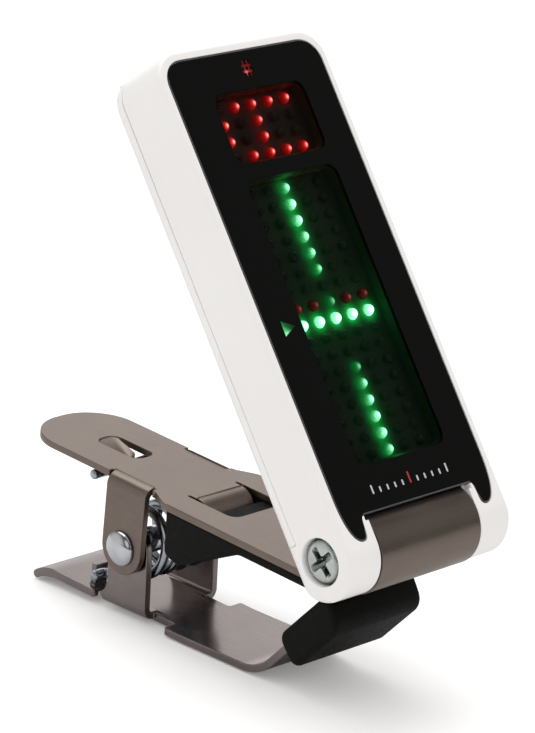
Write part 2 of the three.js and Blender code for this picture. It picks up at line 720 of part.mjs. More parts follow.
function lowerProfile() {
  const rise = (y) => (y - FLAT_REAR) * Math.tan(THUMB_RISE);
  const crest = HINGE.y + 48.6;
  const tip = HINGE.y + 51.8;
  const shape = new THREE.Shape();
  const outerStart = -Math.PI / 2;
  const outerEnd = -Math.PI / 2 - BOOT_ANGLE;
  shape.moveTo(FLAT_REAR, 0);
  shape.lineTo(crest - 1.4, rise(crest - 1.4));
  shape.quadraticCurveTo(crest + 0.6, rise(crest) + 0.1, tip - 0.7, 0);
  shape.lineTo(tip, 0.65);
  const top = rise(crest) + LOWER_SHEET;
  shape.quadraticCurveTo(crest + 1.4, top + 0.3, crest - 1.6, top);
  shape.lineTo(FLAT_REAR, LOWER_SHEET);
  shape.lineTo(BEND.y, LOWER_SHEET);
  shape.absarc(BEND.y, BEND.radius, BEND.radius - LOWER_SHEET, outerStart, outerEnd, true);
  const inside = tonguePoint(TONGUE_LENGTH, LOWER_SHEET);
  const outside = tonguePoint(TONGUE_LENGTH, 0);
  shape.lineTo(inside.x, inside.y);
  shape.lineTo(outside.x, outside.y);
  shape.absarc(BEND.y, BEND.radius, BEND.radius, outerEnd, outerStart, false);
  shape.closePath();
  return shape;
}

function lowerPlan() {
  const stepY = HINGE.y + 29.3;
  const bendInset = LOWER_EAR_OUTER - 1.5;
  return outline([
    [-LOWER_WIDE_HALF, -40],
    [LOWER_WIDE_HALF, -40],
    [LOWER_WIDE_HALF, stepY, 0.4],
    [bendInset, stepY, 0.4],
    [bendInset, EAR_REAR + 2.2, 0.4],
    [LOWER_THUMB_HALF, EAR_REAR + 2.2, 0.4],
    [LOWER_THUMB_HALF, HINGE.y + 52.5, 1.2],
    [-LOWER_THUMB_HALF, HINGE.y + 52.5, 1.2],
    [-LOWER_THUMB_HALF, EAR_REAR + 2.2, 0.4],
    [-bendInset, EAR_REAR + 2.2, 0.4],
    [-bendInset, stepY, 0.4],
    [-LOWER_WIDE_HALF, stepY, 0.4],
  ]);
}

// Notch that narrows the tongue on one side, square to the sheet, where it enters the boot.
function tongueNotch(side) {
  const start = BOOT_START - 0.3;
  const corners = [tonguePoint(start, -2), tonguePoint(20, -2), tonguePoint(20, 3), tonguePoint(start, 3)];
  const ends = [side * TONGUE_HALF, side * BEYOND].sort((a, b) => a - b);
  return swept(outline(corners.map((corner) => [corner.x, corner.y])), ends[0], ends[1]);
}

function lowerEar(side) {
  const bend = EAR_BEND;
  const floor = (PIVOT.y - FLAT_REAR) * Math.tan(THUMB_RISE);
  const ends = [side * (LOWER_EAR_OUTER - LOWER_SHEET), side * LOWER_EAR_OUTER].sort((a, b) => a - b);
  const leaf = new THREE.Shape()
    .moveTo(EAR_FRONT, floor + bend)
    .lineTo(EAR_REAR + 1.1, floor + bend)
    .quadraticCurveTo(EAR_REAR, floor + bend + 0.6, EAR_REAR, floor + bend + 2.2)
    .lineTo(EAR_REAR, PIVOT.z)
    .absarc(PIVOT.y, PIVOT.z, EAR_HALF, 0, Math.PI, false)
    .closePath();
  const centreX = side * (LOWER_EAR_OUTER - bend);
  const centreZ = floor + bend;
  const elbow = ring(centreX, centreZ, bend - LOWER_SHEET, bend, EAR_FRONT, EAR_REAR + 1.1)
    .intersect(box(
      Math.min(centreX - side * 0.2, side * BEYOND),
      Math.max(centreX - side * 0.2, side * BEYOND),
      -40,
      40,
      -2,
      centreZ,
    ));
  return swept(leaf, ends[0], ends[1], 8).add(elbow);
}

// Tab lanced up out of the sheet beside the left ear; the spring's lower leg bears on it.
function springTab() {
  const root = HINGE.y + 42.6;
  const foot = (root - FLAT_REAR) * Math.tan(THUMB_RISE) + LOWER_SHEET / 2;
  const path = new THREE.LineCurve(
    new THREE.Vector2(root, foot),
    new THREE.Vector2(root - 0.3, foot + 3.1),
  );
  return swept(strip(path, LOWER_SHEET - 0.1, 1), -4.9, -3);
}

function lowerJaw() {
  const springHole = raised(roundedBox(-4.9, -3, EAR_REAR + 0.4, HINGE.y + 42.2, 0.4), -1, 4);
  return swept(lowerProfile(), -LOWER_WIDE_HALF, LOWER_WIDE_HALF, 12)
    .intersect(raised(lowerPlan(), -2, 20))
    .subtract(tongueNotch(-1))
    .subtract(tongueNotch(1))
    .subtract(springHole)
    .add(springTab())
    .add(lowerEar(-1))
    .add(lowerEar(1))
    .subtract(discAlongX(PIVOT.pinRadius + PIN_PLAY, -BEYOND, BEYOND, PIVOT.y, PIVOT.z));
}

// Thick rubber boot pushed over the front tongue.
function lowerBoot() {
  const rearFace = LOWER_SHEET + 1.12;
  const frontFace = -2.18;
  const corners = [
    [BOOT_START, rearFace, 1.2],
    [BOOT_END - 0.6, rearFace, 0.8],
    [BOOT_END, rearFace - 1.3, 0.5],
    [BOOT_END - 0.8, frontFace, 1.8],
    [BOOT_START - 0.5, frontFace, 1.1],
  ];
  const profile = outline(corners.map(([along, outwards, radius]) => {
    const point = tonguePoint(along, outwards);
    return [point.x, point.y, radius];
  }));
  const low = tonguePoint(-2, -0.15);
  const lowInner = tonguePoint(-2, LOWER_SHEET + 0.15);
  const high = tonguePoint(TONGUE_LENGTH + 0.15, -0.15);
  const highInner = tonguePoint(TONGUE_LENGTH + 0.15, LOWER_SHEET + 0.15);
  const slotCorners = [low, high, highInner, lowInner];
  const slot = outline(slotCorners.map((corner) => [corner.x, corner.y]));
  const half = 6.8;
  return swept(profile, -half, half).subtract(swept(slot, -5.75, 5.75));
}

// ---- pivot and spring ---------------------------------------------------------------------------

function pivotPin() {
  const face = UPPER_EAR_OUTER + 0.06;
  const domeRise = 0.95;
  const domeRim = 2.05;
  const shank = new THREE.LatheGeometry([
    new THREE.Vector2(0, -face - domeRise),
    new THREE.Vector2(domeRim * 0.45, -face - domeRise * 0.88),
    new THREE.Vector2(domeRim * 0.8, -face - domeRise * 0.58),
    new THREE.Vector2(domeRim, -face - 0.2),
    new THREE.Vector2(domeRim, -face),
    new THREE.Vector2(PIVOT.pinRadius, -face),
    new THREE.Vector2(PIVOT.pinRadius, face),
    new THREE.Vector2(domeRim * 0.95, face),
    new THREE.Vector2(domeRim * 0.75, face + 0.55),
    new THREE.Vector2(0, face + 0.6),
  ], 36);
  shank.rotateZ(-Math.PI / 2);
  shank.translate(0, PIVOT.y, PIVOT.z);
  return solid(shank);
}

// Coil round the pin, a lower leg from its left end and an upper leg from its right end.
// Each leg finishes in a bar that runs across the jaw it pushes.
function torsionSpring() {
  const at = (x, y, z) => new THREE.Vector3(x, PIVOT.y + y, PIVOT.z + z);
  const points = [];
  const lowerBar = { y: 5.1, z: -5.1 };
  const upperBar = { y: 5.8, z: 6.95 };
  points.push(at(-5.7, lowerBar.y, lowerBar.z));
  points.push(at(-4.7, lowerBar.y, lowerBar.z));
  points.push(at(-4.05, lowerBar.y - 0.5, lowerBar.z));
  points.push(at(-COIL_HALF, 2.6, -4.3));
  const start = -Math.PI / 2;
  const sweep = Math.PI * 2 * COIL_TURNS - Math.PI;
  const steps = 18 * COIL_TURNS;
  for (let i = 0; i <= steps; i += 1) {
    const t = i / steps;
    const angle = start - 0.25 - t * (sweep - 0.5);
    points.push(at(
      -COIL_HALF + 2 * COIL_HALF * t,
      COIL_RADIUS * Math.cos(angle),
      COIL_RADIUS * Math.sin(angle),
    ));
  }
  points.push(at(COIL_HALF, 2.6, 4.9));
  points.push(at(4, upperBar.y - 0.7, upperBar.z - 0.1));
  points.push(at(3.4, upperBar.y, upperBar.z));
  points.push(at(0, upperBar.y, upperBar.z));
  points.push(at(-5.8, upperBar.y, upperBar.z));
  const wire = new THREE.ExtrudeGeometry(circle(0, 0, WIRE_RADIUS), {
    steps: 170,
    extrudePath: new THREE.CatmullRomCurve3(points, false, 'centripetal'),
    curveSegments: 4,
    bevelEnabled: false,
  });
  return solid(wire);
}

// ---- assembly -----------------------------------------------------------------------------------

const tuner = new THREE.Group();

const head = new THREE.Group();
head.position.set(0, HINGE.y, HINGE.z);
head.rotation.x = HEAD_LEAN;
head.add(
  part('front_housing', frontHousing(), WHITE, 0.3),
  part('rear_cover', rearCover(), WHITE, 0.35),
  part('battery_door', batteryDoor(), WHITE, 0.35),
  part('power_button', powerButton(), 0x8c8c8c, 0.5),
  part('display_window', displayWindow(), 0x101010, 0.08),
  part('light_baffle', lightBaffle(), 0x0c0c0c, 0.7),
  part('note_leds', noteLeds(), 0xd6261e, 0.4),
  part('strobe_leds', strobeLeds(), 0x1fc24a, 0.4),
  part('sharp_led', sharpLed(), 0xd6261e, 0.4),
  part('marker_light', markerLight(), 0x1fc24a, 0.4),
  part('main_board', mainBoard(), BOARD_GREEN, 0.5),
  part('microcontroller', chip(-5, 24, 3, 3, 0.8), 0x1a1a1c, 0.6),
  part('quartz_crystal', chip(4.5, 24, 1.6, 0.8, 0.7), CHROME, 0.3, 0.9),
  part('power_switch', powerSwitch(), 0x2a2a2c, 0.5),
  part('piezo_sensor', piezoSensor(), 0xb08d4a, 0.4, 0.8),
  part('coin_cell', coinCell(), CHROME, 0.25, 1),
  part('contact_positive', positiveContact(), CHROME, 0.3, 1),
  part('contact_negative', negativeContact(), CHROME, 0.3, 1),
  part('case_screw_left', caseScrew(-1), ZINC, 0.35, 1),
  part('case_screw_right', caseScrew(1), ZINC, 0.35, 1),
  part('hinge_screw', hingeScrew(), ZINC, 0.3, 1),
  part('hinge_nut', hingeNut(), ZINC, 0.35, 1),
);

const upperClip = new THREE.Group();
upperClip.position.set(0, HINGE.y, HINGE.z);
upperClip.rotation.x = JAW_SLOPE;
upperClip.add(
  part('upper_jaw', upperJaw(), STEEL, 0.42, 0.9),
  part('upper_pad', upperPad(), RUBBER, 0.7),
  part('hinge_bush_left', hingeBush(-1), 0x2b2b2d, 0.5),
  part('hinge_bush_right', hingeBush(1), 0x2b2b2d, 0.5),
);

const lowerClip = new THREE.Group();
lowerClip.add(
  part('lower_jaw', lowerJaw(), STEEL, 0.42, 0.9),
  part('lower_boot', lowerBoot(), RUBBER, 0.7),
  part('pivot_pin', pivotPin(), CHROME, 0.15, 1),
  part('torsion_spring', torsionSpring(), CHROME, 0.2, 1),
);

tuner.add(head, upperClip, lowerClip);

export default tuner;
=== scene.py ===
"""Looks of a clip-on instrument tuner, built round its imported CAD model.

Each visible piece is drawn in millimetres in the frame of the body that carries it, then placed in the
CAD model's own frame in metres.
"""

import json
import math

import bmesh
import bpy
from mathutils import Matrix, Vector


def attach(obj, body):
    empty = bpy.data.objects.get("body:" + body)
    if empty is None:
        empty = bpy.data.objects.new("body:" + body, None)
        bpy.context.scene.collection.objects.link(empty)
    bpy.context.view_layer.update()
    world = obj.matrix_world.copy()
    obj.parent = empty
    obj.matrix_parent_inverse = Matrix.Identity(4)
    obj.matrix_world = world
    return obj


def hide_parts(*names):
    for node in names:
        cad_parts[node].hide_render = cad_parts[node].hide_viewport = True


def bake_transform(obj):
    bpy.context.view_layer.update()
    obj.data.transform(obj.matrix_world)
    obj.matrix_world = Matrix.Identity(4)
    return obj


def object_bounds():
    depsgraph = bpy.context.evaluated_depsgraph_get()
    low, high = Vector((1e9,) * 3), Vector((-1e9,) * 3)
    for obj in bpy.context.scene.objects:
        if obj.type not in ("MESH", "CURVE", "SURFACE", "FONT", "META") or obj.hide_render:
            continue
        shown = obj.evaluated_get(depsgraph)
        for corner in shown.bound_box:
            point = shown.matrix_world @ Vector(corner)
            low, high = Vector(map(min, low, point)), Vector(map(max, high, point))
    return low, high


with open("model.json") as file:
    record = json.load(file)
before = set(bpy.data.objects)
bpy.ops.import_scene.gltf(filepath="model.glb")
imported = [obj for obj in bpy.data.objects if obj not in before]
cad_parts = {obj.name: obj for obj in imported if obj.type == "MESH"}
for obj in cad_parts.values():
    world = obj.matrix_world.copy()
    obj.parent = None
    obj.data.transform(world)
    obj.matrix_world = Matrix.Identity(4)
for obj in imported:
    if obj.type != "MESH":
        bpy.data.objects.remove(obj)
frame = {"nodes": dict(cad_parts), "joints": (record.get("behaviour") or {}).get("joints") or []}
cad_low, cad_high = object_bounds()

MM = 0.001
JOINTS = {joint["name"]: joint for joint in frame["joints"]}
HINGE = Vector(JOINTS["head_tilt"]["pos_m"])
PIVOT = Vector(JOINTS["jaw_open"]["pos_m"])
ACROSS = Vector((1, 0, 0))
HEAD_UP = Vector(JOINTS["battery_door_slide"]["axis"])
HEAD_OUT = Vector(JOINTS["power_button_press"]["axis"])
JAW_SLOPE = math.radians(3.26)
JAW_BACK = Vector((0, math.cos(JAW_SLOPE), math.sin(JAW_SLOPE)))
JAW_OUT = Vector((0, -math.sin(JAW_SLOPE), math.cos(JAW_SLOPE)))


def local_frame(origin, x, y, z):
    """Matrix from millimetres along x, y and z at origin to the row frame in metres."""
    matrix = Matrix((x, y, z)).transposed().to_4x4()
    return Matrix.Translation(origin) @ matrix @ Matrix.Scale(MM, 4)


HEAD = local_frame(HINGE, ACROSS, HEAD_UP, HEAD_OUT)
JAW = local_frame(HINGE, ACROSS, JAW_BACK, JAW_OUT)
BENCH = Matrix.Scale(MM, 4)


def local_box(node, matrix):
    """Lowest and highest corner of a CAD node in a local frame, in millimetres."""
    back = matrix.inverted()
    corners = [back @ vertex.co for vertex in frame["nodes"][node].data.vertices]
    low = Vector([min(corner[i] for corner in corners) for i in range(3)])
    high = Vector([max(corner[i] for corner in corners) for i in range(3)])
    return low, high


# ---- outlines -------------------------------------------------------------------------------------


def rounded(corners, steps=8):
    """Closed outline through (x, y, radius) corners, each rounded by a true arc."""
    points = []
    for i, (x, y, radius) in enumerate(corners):
        here = Vector((x, y))
        if radius <= 0:
            points.append(here)
            continue
        before = (Vector(corners[i - 1][:2]) - here).normalized()
        after = (Vector(corners[(i + 1) % len(corners)][:2]) - here).normalized()
        half = before.angle(after) / 2
        reach = radius / math.tan(half)
        centre = here + (before + after).normalized() * (radius / math.sin(half))
        first = here + before * reach - centre
        last = here + after * reach - centre
        turn = math.pi - 2 * half
        for k in range(steps + 1):
            t = k / steps
            mix = first * math.sin((1 - t) * turn) + last * math.sin(t * turn)
            points.append(centre + mix / math.sin(turn))
    return [tuple(point) for point in points]


def box_outline(x0, x1, y0, y1, radius=0.0, steps=6):
    return rounded([(x0, y0, radius), (x1, y0, radius), (x1, y1, radius), (x0, y1, radius)], steps)


def circle(x, y, radius, steps=48):
    turn = 2 * math.pi / steps
    return [(x + radius * math.cos(i * turn), y + radius * math.sin(i * turn)) for i in range(steps)]


def arc(x, y, radius, start, end, steps=24):
    """Points on an arc, with its angles in degrees."""
    points = []
    for i in range(steps + 1):
        angle = math.radians(start + (end - start) * i / steps)
        points.append((x + radius * math.cos(angle), y + radius * math.sin(angle)))
    return points


def bezier(start, one, two, end, steps=12):
    points = []
    for i in range(1, steps + 1):
        t = i / steps
        s = 1 - t
        weights = (s ** 3, 3 * s * s * t, 3 * s * t * t, t ** 3)
        points.append(tuple(
            sum(w * p[axis] for w, p in zip(weights, (start, one, two, end))) for axis in (0, 1)
        ))
    return points


def dense(points, step):
    """The same closed outline with no side longer than step."""
    result = []
    for i, here in enumerate(points):
        after = points[(i + 1) % len(points)]
        length = math.dist(here, after)
        parts = max(1, math.ceil(length / step))
        for k in range(parts):
            t = k / parts
            result.append((here[0] + (after[0] - here[0]) * t, here[1] + (after[1] - here[1]) * t))
    return result


# ---- solids ---------------------------------------------------------------------------------------


class Solid:
    """A closed mesh in millimetres, in a local frame, that can be cut, joined and softened."""

    def __init__(self, bm):
        bmesh.ops.recalc_face_normals(bm, faces=bm.faces)
        mesh = bpy.data.meshes.new("solid")
        bm.to_mesh(mesh)
        bm.free()
        self.object = bpy.data.objects.new("solid", mesh)
        bpy.context.scene.collection.objects.link(self.object)

    def combine(self, others, operation):
        for other in others:
            modifier = self.object.modifiers.new("combine", "BOOLEAN")
            modifier.solver = "EXACT"
            modifier.operation = operation
            modifier.object = other.object
            graph = bpy.context.evaluated_depsgraph_get()
            mesh = bpy.data.meshes.new_from_object(self.object.evaluated_get(graph))
            self.object.modifiers.clear()
            self.object.data = mesh
            bpy.data.objects.remove(other.object)
        return self

    def cut(self, *others):
        return self.combine(others, "DIFFERENCE")

    def join(self, *others):
        return self.combine(others, "UNION")

    def keep(self, *others):
        return self.combine(others, "INTERSECT")

    def edit(self, action):
        bm = bmesh.new()
        bm.from_mesh(self.object.data)
        action(bm)
        bm.to_mesh(self.object.data)
        bm.free()
        return self

    def turn(self, degrees, axis="Z"):
        self.object.data.transform(Matrix.Rotation(math.radians(degrees), 4, axis))
        return self

    def move(self, x=0.0, y=0.0, z=0.0):
        self.object.data.transform(Matrix.Translation((x, y, z)))
        return self

    def soften(self, width, steps=3, angle=40, where=lambda point: True):
        """Rounds the edges that are sharper than angle and lie where the test says."""

        def action(bm):
            bmesh.ops.remove_doubles(bm, verts=bm.verts, dist=0.003)
            bmesh.ops.dissolve_degenerate(bm, edges=bm.edges, dist=0.003)
            flat = math.radians(0.4)
            bmesh.ops.dissolve_limit(bm, angle_limit=flat, verts=bm.verts, edges=bm.edges)
            sharp = [
                edge for edge in bm.edges
                if len(edge.link_faces) == 2
                and edge.calc_face_angle() > math.radians(angle)
                and where(edge.verts[0].co) and where(edge.verts[1].co)
            ]
            bmesh.ops.bevel(
                bm, geom=sharp, offset=width, offset_type="OFFSET", segments=steps,
                profile=0.5, affect="EDGES", clamp_overlap=False, loop_slide=True,
            )
            bmesh.ops.remove_doubles(bm, verts=bm.verts, dist=0.002)

        return self.edit(action)


def skin(bm, rings, closed=False):
    """Faces between successive rings of points; open rings are capped at each end."""
    rows = [[bm.verts.new(point) for point in ring] for ring in rings]
    pairs = list(zip(rows, rows[1:]))
    if closed:
        pairs.append((rows[-1], rows[0]))
    for near, far in pairs:
        for i in range(len(near)):
            j = (i + 1) % len(near)
            bm.faces.new((near[i], near[j], far[j], far[i]))
    if not closed:
        bm.faces.new(rows[0][::-1])
        bm.faces.new(rows[-1])


def loft(rings, closed=False):
    bm = bmesh.new()
    skin(bm, rings, closed)
    bmesh.ops.remove_doubles(bm, verts=bm.verts, dist=1e-4)
    bmesh.ops.dissolve_degenerate(bm, edges=bm.edges, dist=1e-4)
    return Solid(bm)


PLACES = {
    "z": lambda a, b, c: Vector((a, b, c)),
    "x": lambda a, b, c: Vector((c, a, b)),
    "y": lambda a, b, c: Vector((a, c, b)),
}


def prism(points, low, high, along="z", edge=0.0, steps=3):
    """Outline raised from low to high: (x, y) along z, (y, z) along x, or (x, z) along y.

    The edges round both ends are rounded by edge.
    """
    place = PLACES[along]
    bm = bmesh.new()
    skin(bm, [[place(a, b, level) for a, b in points] for level in (low, high)])
    if edge:
        rims = [e for e in bm.edges if any(len(face.verts) == len(points) for face in e.link_faces)]
        bmesh.ops.bevel(
            bm, geom=rims, offset=edge, offset_type="OFFSET", segments=steps,
            profile=0.5, affect="EDGES", clamp_overlap=False, loop_slide=True,
        )
    return Solid(bm)


def block(x0, x1, y0, y1, z0, z1):
    return prism([(x0, y0), (x1, y0), (x1, y1), (x0, y1)], z0, z1)


def turned(profile, along="x", at=(0.0, 0.0), steps=64):
    """Solid of revolution through (position, radius) points along an axis."""
    place = PLACES[along]
    smallest = 1e-5
    rings = []
    for level, radius in profile:
        ring = circle(at[0], at[1], max(radius, smallest), steps)
        rings.append([place(a, b, level) for a, b in ring])
    return loft(rings)


def tube(path, radius):
    """Round wire along a list of points, with domed ends."""
    sides = 18
    tangents = []
    for i in range(len(path)):
        ahead = path[min(i + 1, len(path) - 1)]
        behind = path[max(i - 1, 0)]
        tangents.append((ahead - behind).normalized())
    across = tangents[0].orthogonal().normalized()
    acrosses = []
    for tangent in tangents:
        across = (across - tangent * across.dot(tangent)).normalized()
        acrosses.append(across)
    dome = [(0.995, 0.1), (0.92, 0.39), (0.7, 0.714), (0.38, 0.925)]
    first = [(path[0] - tangents[0] * radius * reach * 0.6, 0, share) for reach, share in dome]
    last = [(path[-1] + tangents[-1] * radius * reach * 0.6, -1, share) for reach, share in dome[::-1]]
    rings = []
    for centre, i, share in first + [(point, i, 1) for i, point in enumerate(path)] + last:
        other = tangents[i].cross(acrosses[i])
        angles = (2 * math.pi * k / sides for k in range(sides))
        rings.append([centre + (acrosses[i] * math.cos(a) + other * math.sin(a)) * radius * share
                      for a in angles])
    return loft(rings)


def smooth_path(points, spacing):
    """Centripetal Catmull-Rom curve through the points."""
    padded = [points[0] * 2 - points[1]] + points + [points[-1] * 2 - points[-2]]
    path = []
    for i in range(1, len(padded) - 2):
        p0, p1, p2, p3 = padded[i - 1:i + 3]
        t1 = math.sqrt((p1 - p0).length)
        t2 = t1 + math.sqrt((p2 - p1).length)
        t3 = t2 + math.sqrt((p3 - p2).length)
        parts = max(1, round((p2 - p1).length / spacing))
        for k in range(parts):
            t = t1 + (t2 - t1) * k / parts
            a1 = p0 * ((t1 - t) / t1) + p1 * (t / t1)
            a2 = p1 * ((t2 - t) / (t2 - t1)) + p2 * ((t - t1) / (t2 - t1))
            a3 = p2 * ((t3 - t) / (t3 - t2)) + p3 * ((t - t2) / (t3 - t2))
            b1 = a1 * ((t2 - t) / t2) + a2 * (t / t2)
            b2 = a2 * ((t3 - t) / (t3 - t1)) + a3 * ((t - t1) / (t3 - t1))
            path.append(b1 * ((t2 - t) / (t2 - t1)) + b2 * ((t - t1) / (t2 - t1)))
    path.append(points[-1].copy())
    return path


def place(solid, name, matrix, material, body=None, stands_for=(), slot=None, weighted=True):
    """Moves a solid into the row frame and hands it to the body that carries it."""
    piece = solid.object
    piece.name = name
    piece.data.name = name
    piece.data.transform(matrix)
    piece.data.polygons.foreach_set("use_smooth", [True] * len(piece.data.polygons))
    piece.data.set_sharp_from_angle(angle=math.radians(35))
    piece.data.materials.clear()
    piece.data.materials.append(material)
    if weighted:
        modifier = piece.modifiers.new("face_weights", "WEIGHTED_NORMAL")
        modifier.keep_sharp = True
    if body:
        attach(piece, body)
    if stands_for:
        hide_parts(*stands_for)
    return piece


def second_material(piece, matrix, material, chosen):
    """Gives a second material to the faces that a test of local centre and normal picks out."""
    piece.data.materials.append(material)
    back = matrix.inverted()
    for face in piece.data.polygons:
        face.material_index = int(chosen(back @ face.center, face.normal))


# ---- materials ------------------------------------------------------------------------------------


class Nodes:
    """Short calls for building a node tree."""

    def __init__(self, owner):
        owner.use_nodes = True
        self.tree = owner.node_tree

    def feed(self, socket, value):
        """Gives a socket a plain value or the output of another node."""
        if isinstance(value, bpy.types.NodeSocket):
            self.tree.links.new(value, socket)
        else:
            socket.default_value = value

    def node(self, kind, settings=None, **inputs):
        """New node; an input is called by its name, or by i and its number."""
        made = self.tree.nodes.new("ShaderNode" + kind)
        for key, value in (settings or {}).items():
            setattr(made, key, value)
        for key, value in inputs.items():
            self.feed(made.inputs[int(key[1:])] if key[1:].isdigit() else made.inputs[key], value)
        return made

    def math(self, operation, first, second):
        return self.node("Math", {"operation": operation}, i0=first, i1=second).outputs["Value"]


class Shader(Nodes):
    """A material built from nodes; its texture space is the row frame at rest, in metres."""

    def __init__(self, name, colour=(0.5, 0.5, 0.5), roughness=0.5, metallic=0.0, specular=0.5):
        self.material = bpy.data.materials.new(name)
        super().__init__(self.material)
        self.surface = self.tree.nodes["Principled BSDF"]
        self.coordinates = self.tree.nodes.new("ShaderNodeTexCoord")
        self.set("Base Color", (*colour, 1))
        self.set("Roughness", roughness)
        self.set("Metallic", metallic)
        self.set("Specular IOR Level", specular)

    def set(self, name, value):
        self.feed(self.surface.inputs[name], value)

    def stretched(self, x, y, z):
        """Object coordinates scaled to count grains of x, y and z millimetres."""
        scale = [1 / (size * MM) for size in (x, y, z)]
        mapping = self.node("Mapping", Vector=self.coordinates.outputs["Object"], Scale=scale)
        return mapping.outputs["Vector"]

    def noise(self, size, detail=3.0, roughness=0.5, grain=None):
        """Noise with grains of size millimetres; grain gives a size for each axis instead."""
        where = self.stretched(*(grain or (size, size, size)))
        made = self.node("TexNoise", Vector=where, Scale=1.0, Detail=detail, Roughness=roughness)
        return made.outputs["Fac"]

    def ramp(self, value, low, high, first=0.35, last=0.65):
        return self.node("MapRange", i0=value, i1=first, i2=last, i3=low, i4=high).outputs["Result"]

    def mix(self, share, first, second):
        made = self.node("Mix", {"data_type": "RGBA"}, i0=share)
        for socket, value in ((6, first), (7, second)):
            self.feed(made.inputs[socket], (*value, 1) if isinstance(value, tuple) else value)
        return made.outputs[2]

    def bump(self, height, depth, under=None):
        """Relief of depth millimetres."""
        made = self.node("Bump", Height=height, Distance=depth * MM)
        if under is not None:
            self.feed(made.inputs["Normal"], under)
        self.set("Normal", made.outputs["Normal"])
        return made.outputs["Normal"]

    def edges(self):
        """Nearly one on convex edges and nought on flat faces, for wear and a painted edge highlight."""
        bevel = self.node("Bevel", {"samples": 4}, Radius=0.15 * MM)
        geometry = self.node("NewGeometry")
        dot = self.node("VectorMath", {"operation": "DOT_PRODUCT"}, i0=bevel.outputs["Normal"],
                        i1=geometry.outputs["Normal"])
        return self.ramp(dot.outputs["Value"], 1.0, 0.0, 0.75, 0.995)


def shade(colour, share):
    return tuple(c * share for c in colour)


def white_plastic():
    shader = Shader("white_gloss_plastic", (0.83, 0.815, 0.80), 0.3, specular=0.45)
    tint = shader.ramp(shader.noise(14, 2), 0.0, 1.0)
    shader.set("Base Color", shader.mix(tint, (0.835, 0.815, 0.80), (0.85, 0.832, 0.818)))
    haze = shader.noise(3.5, 3)
    shader.set("Roughness", shader.ramp(haze, 0.28, 0.34))
    shader.set("Coat Weight", 0.1)
    shader.set("Coat Roughness", 0.15)
    peel = shader.bump(shader.noise(1.2, 2), 0.0012)
    shader.bump(shader.noise(0.09, 2), 0.0006, under=peel)
    return shader.material


def smoked_acrylic():
    shader = Shader("smoked_acrylic", (0.0030, 0.0030, 0.0028), 0.06, specular=0.08)
    shader.set("Roughness", shader.ramp(shader.noise(6, 5), 0.04, 0.10))
    wave = shader.bump(shader.noise(9, 1), 0.004)
    shader.bump(shader.noise(0.35, 2), 0.0003, under=wave)
    return shader.material


def panel_edge_highlight():
    """Polished outer edge of the panel, painted lighter than its face as a highlight for the light it
    catches.
    """
    shader = Shader("smoked_acrylic_edge_highlight", (0.06, 0.06, 0.062), 0.2, specular=0.5)
    cloud = shader.noise(0.8, 3)
    shader.set("Base Color", shader.mix(cloud, (0.045, 0.045, 0.047), (0.085, 0.085, 0.088)))
    shader.bump(shader.noise(0.2, 2), 0.002)
    return shader.material


def tinted_lens():
    """Thin clear sheet over the lamps: mostly see-through, with a faint surface reflection."""
    shader = Shader("tinted_lens")
    haze = shader.ramp(shader.noise(5, 4), 0.80, 0.86)
    tint = shader.node("CombineColor", i0=haze, i1=haze, i2=haze)
    clear = shader.node("BsdfTransparent", Color=tint.outputs["Color"])
    gloss = shader.node("BsdfGlossy", Roughness=0.07, Color=(1, 1, 1, 1))
    fresnel = shader.node("Fresnel", IOR=1.05)
    mixed = shader.node("MixShader", i0=fresnel.outputs["Fac"], i1=clear.outputs["BSDF"],
                        i2=gloss.outputs["BSDF"])
    shader.feed(shader.tree.nodes["Material Output"].inputs["Surface"], mixed.outputs["Shader"])
    return shader.material


def grained(name, tones, rough, grain, depth, metallic=0.0):
    """Material whose tone, roughness and relief all follow one noise of a size and detail."""
    shader = Shader(name, metallic=metallic)
    cloud = shader.noise(*grain)
    shader.set("Base Color", shader.mix(cloud, *tones))
    shader.set("Roughness", shader.ramp(cloud, *rough))
    shader.bump(cloud, depth)
    return shader.material


def lit(name, colour, roughness):
    """Lamp or well surface whose own and borrowed light is stored on its points."""
    shader = Shader(name, colour, roughness, specular=0.12)
    glow = shader.node("Attribute", {"attribute_name": "glow"})
    shader.set("Emission Color", glow.outputs["Color"])
    shader.set("Emission Strength", shader.ramp(shader.noise(0.16, 2), 0.7, 1.2))
    shader.set("Roughness", shader.ramp(shader.noise(0.5, 2), roughness * 0.8, roughness * 1.3))
    shader.bump(shader.noise(0.3, 2), 0.004)
    return shader.material


# Lighter tone for convex sheet edges: real wear together with a painted highlight.
EDGE_WEAR_AND_HIGHLIGHT = (0.42, 0.37, 0.32)


def steel(name, grain, colour=(0.225, 0.182, 0.155), roughness=0.34):
    """Pewter-coloured satin sheet; grain is the size of its brushing along each axis."""
    shader = Shader(name, colour, roughness, 1.0)
    cloud = shader.noise(5, 4)
    fine = shader.noise(0.12, 3, grain=grain)
    speck = shader.noise(0.09, 2)
    base = shader.mix(shader.ramp(cloud, 0, 1), colour, shade(colour, 1.12))
    base = shader.mix(shader.ramp(fine, 0, 0.30, 0.4, 0.75), base, shade(colour, 0.72))
    # Convex edges are painted lighter: wear plus a painted highlight.
    base = shader.mix(shader.math("MULTIPLY", shader.edges(), 0.6), base, EDGE_WEAR_AND_HIGHLIGHT)
    shader.set("Base Color", base)
    smear = shader.ramp(cloud, roughness - 0.04, roughness + 0.04)
    shader.set("Roughness", shader.math("ADD", smear, shader.ramp(speck, -0.03, 0.05)))
    brushed = shader.bump(fine, 0.0022)
    shader.bump(speck, 0.0016, under=brushed)
    return shader.material


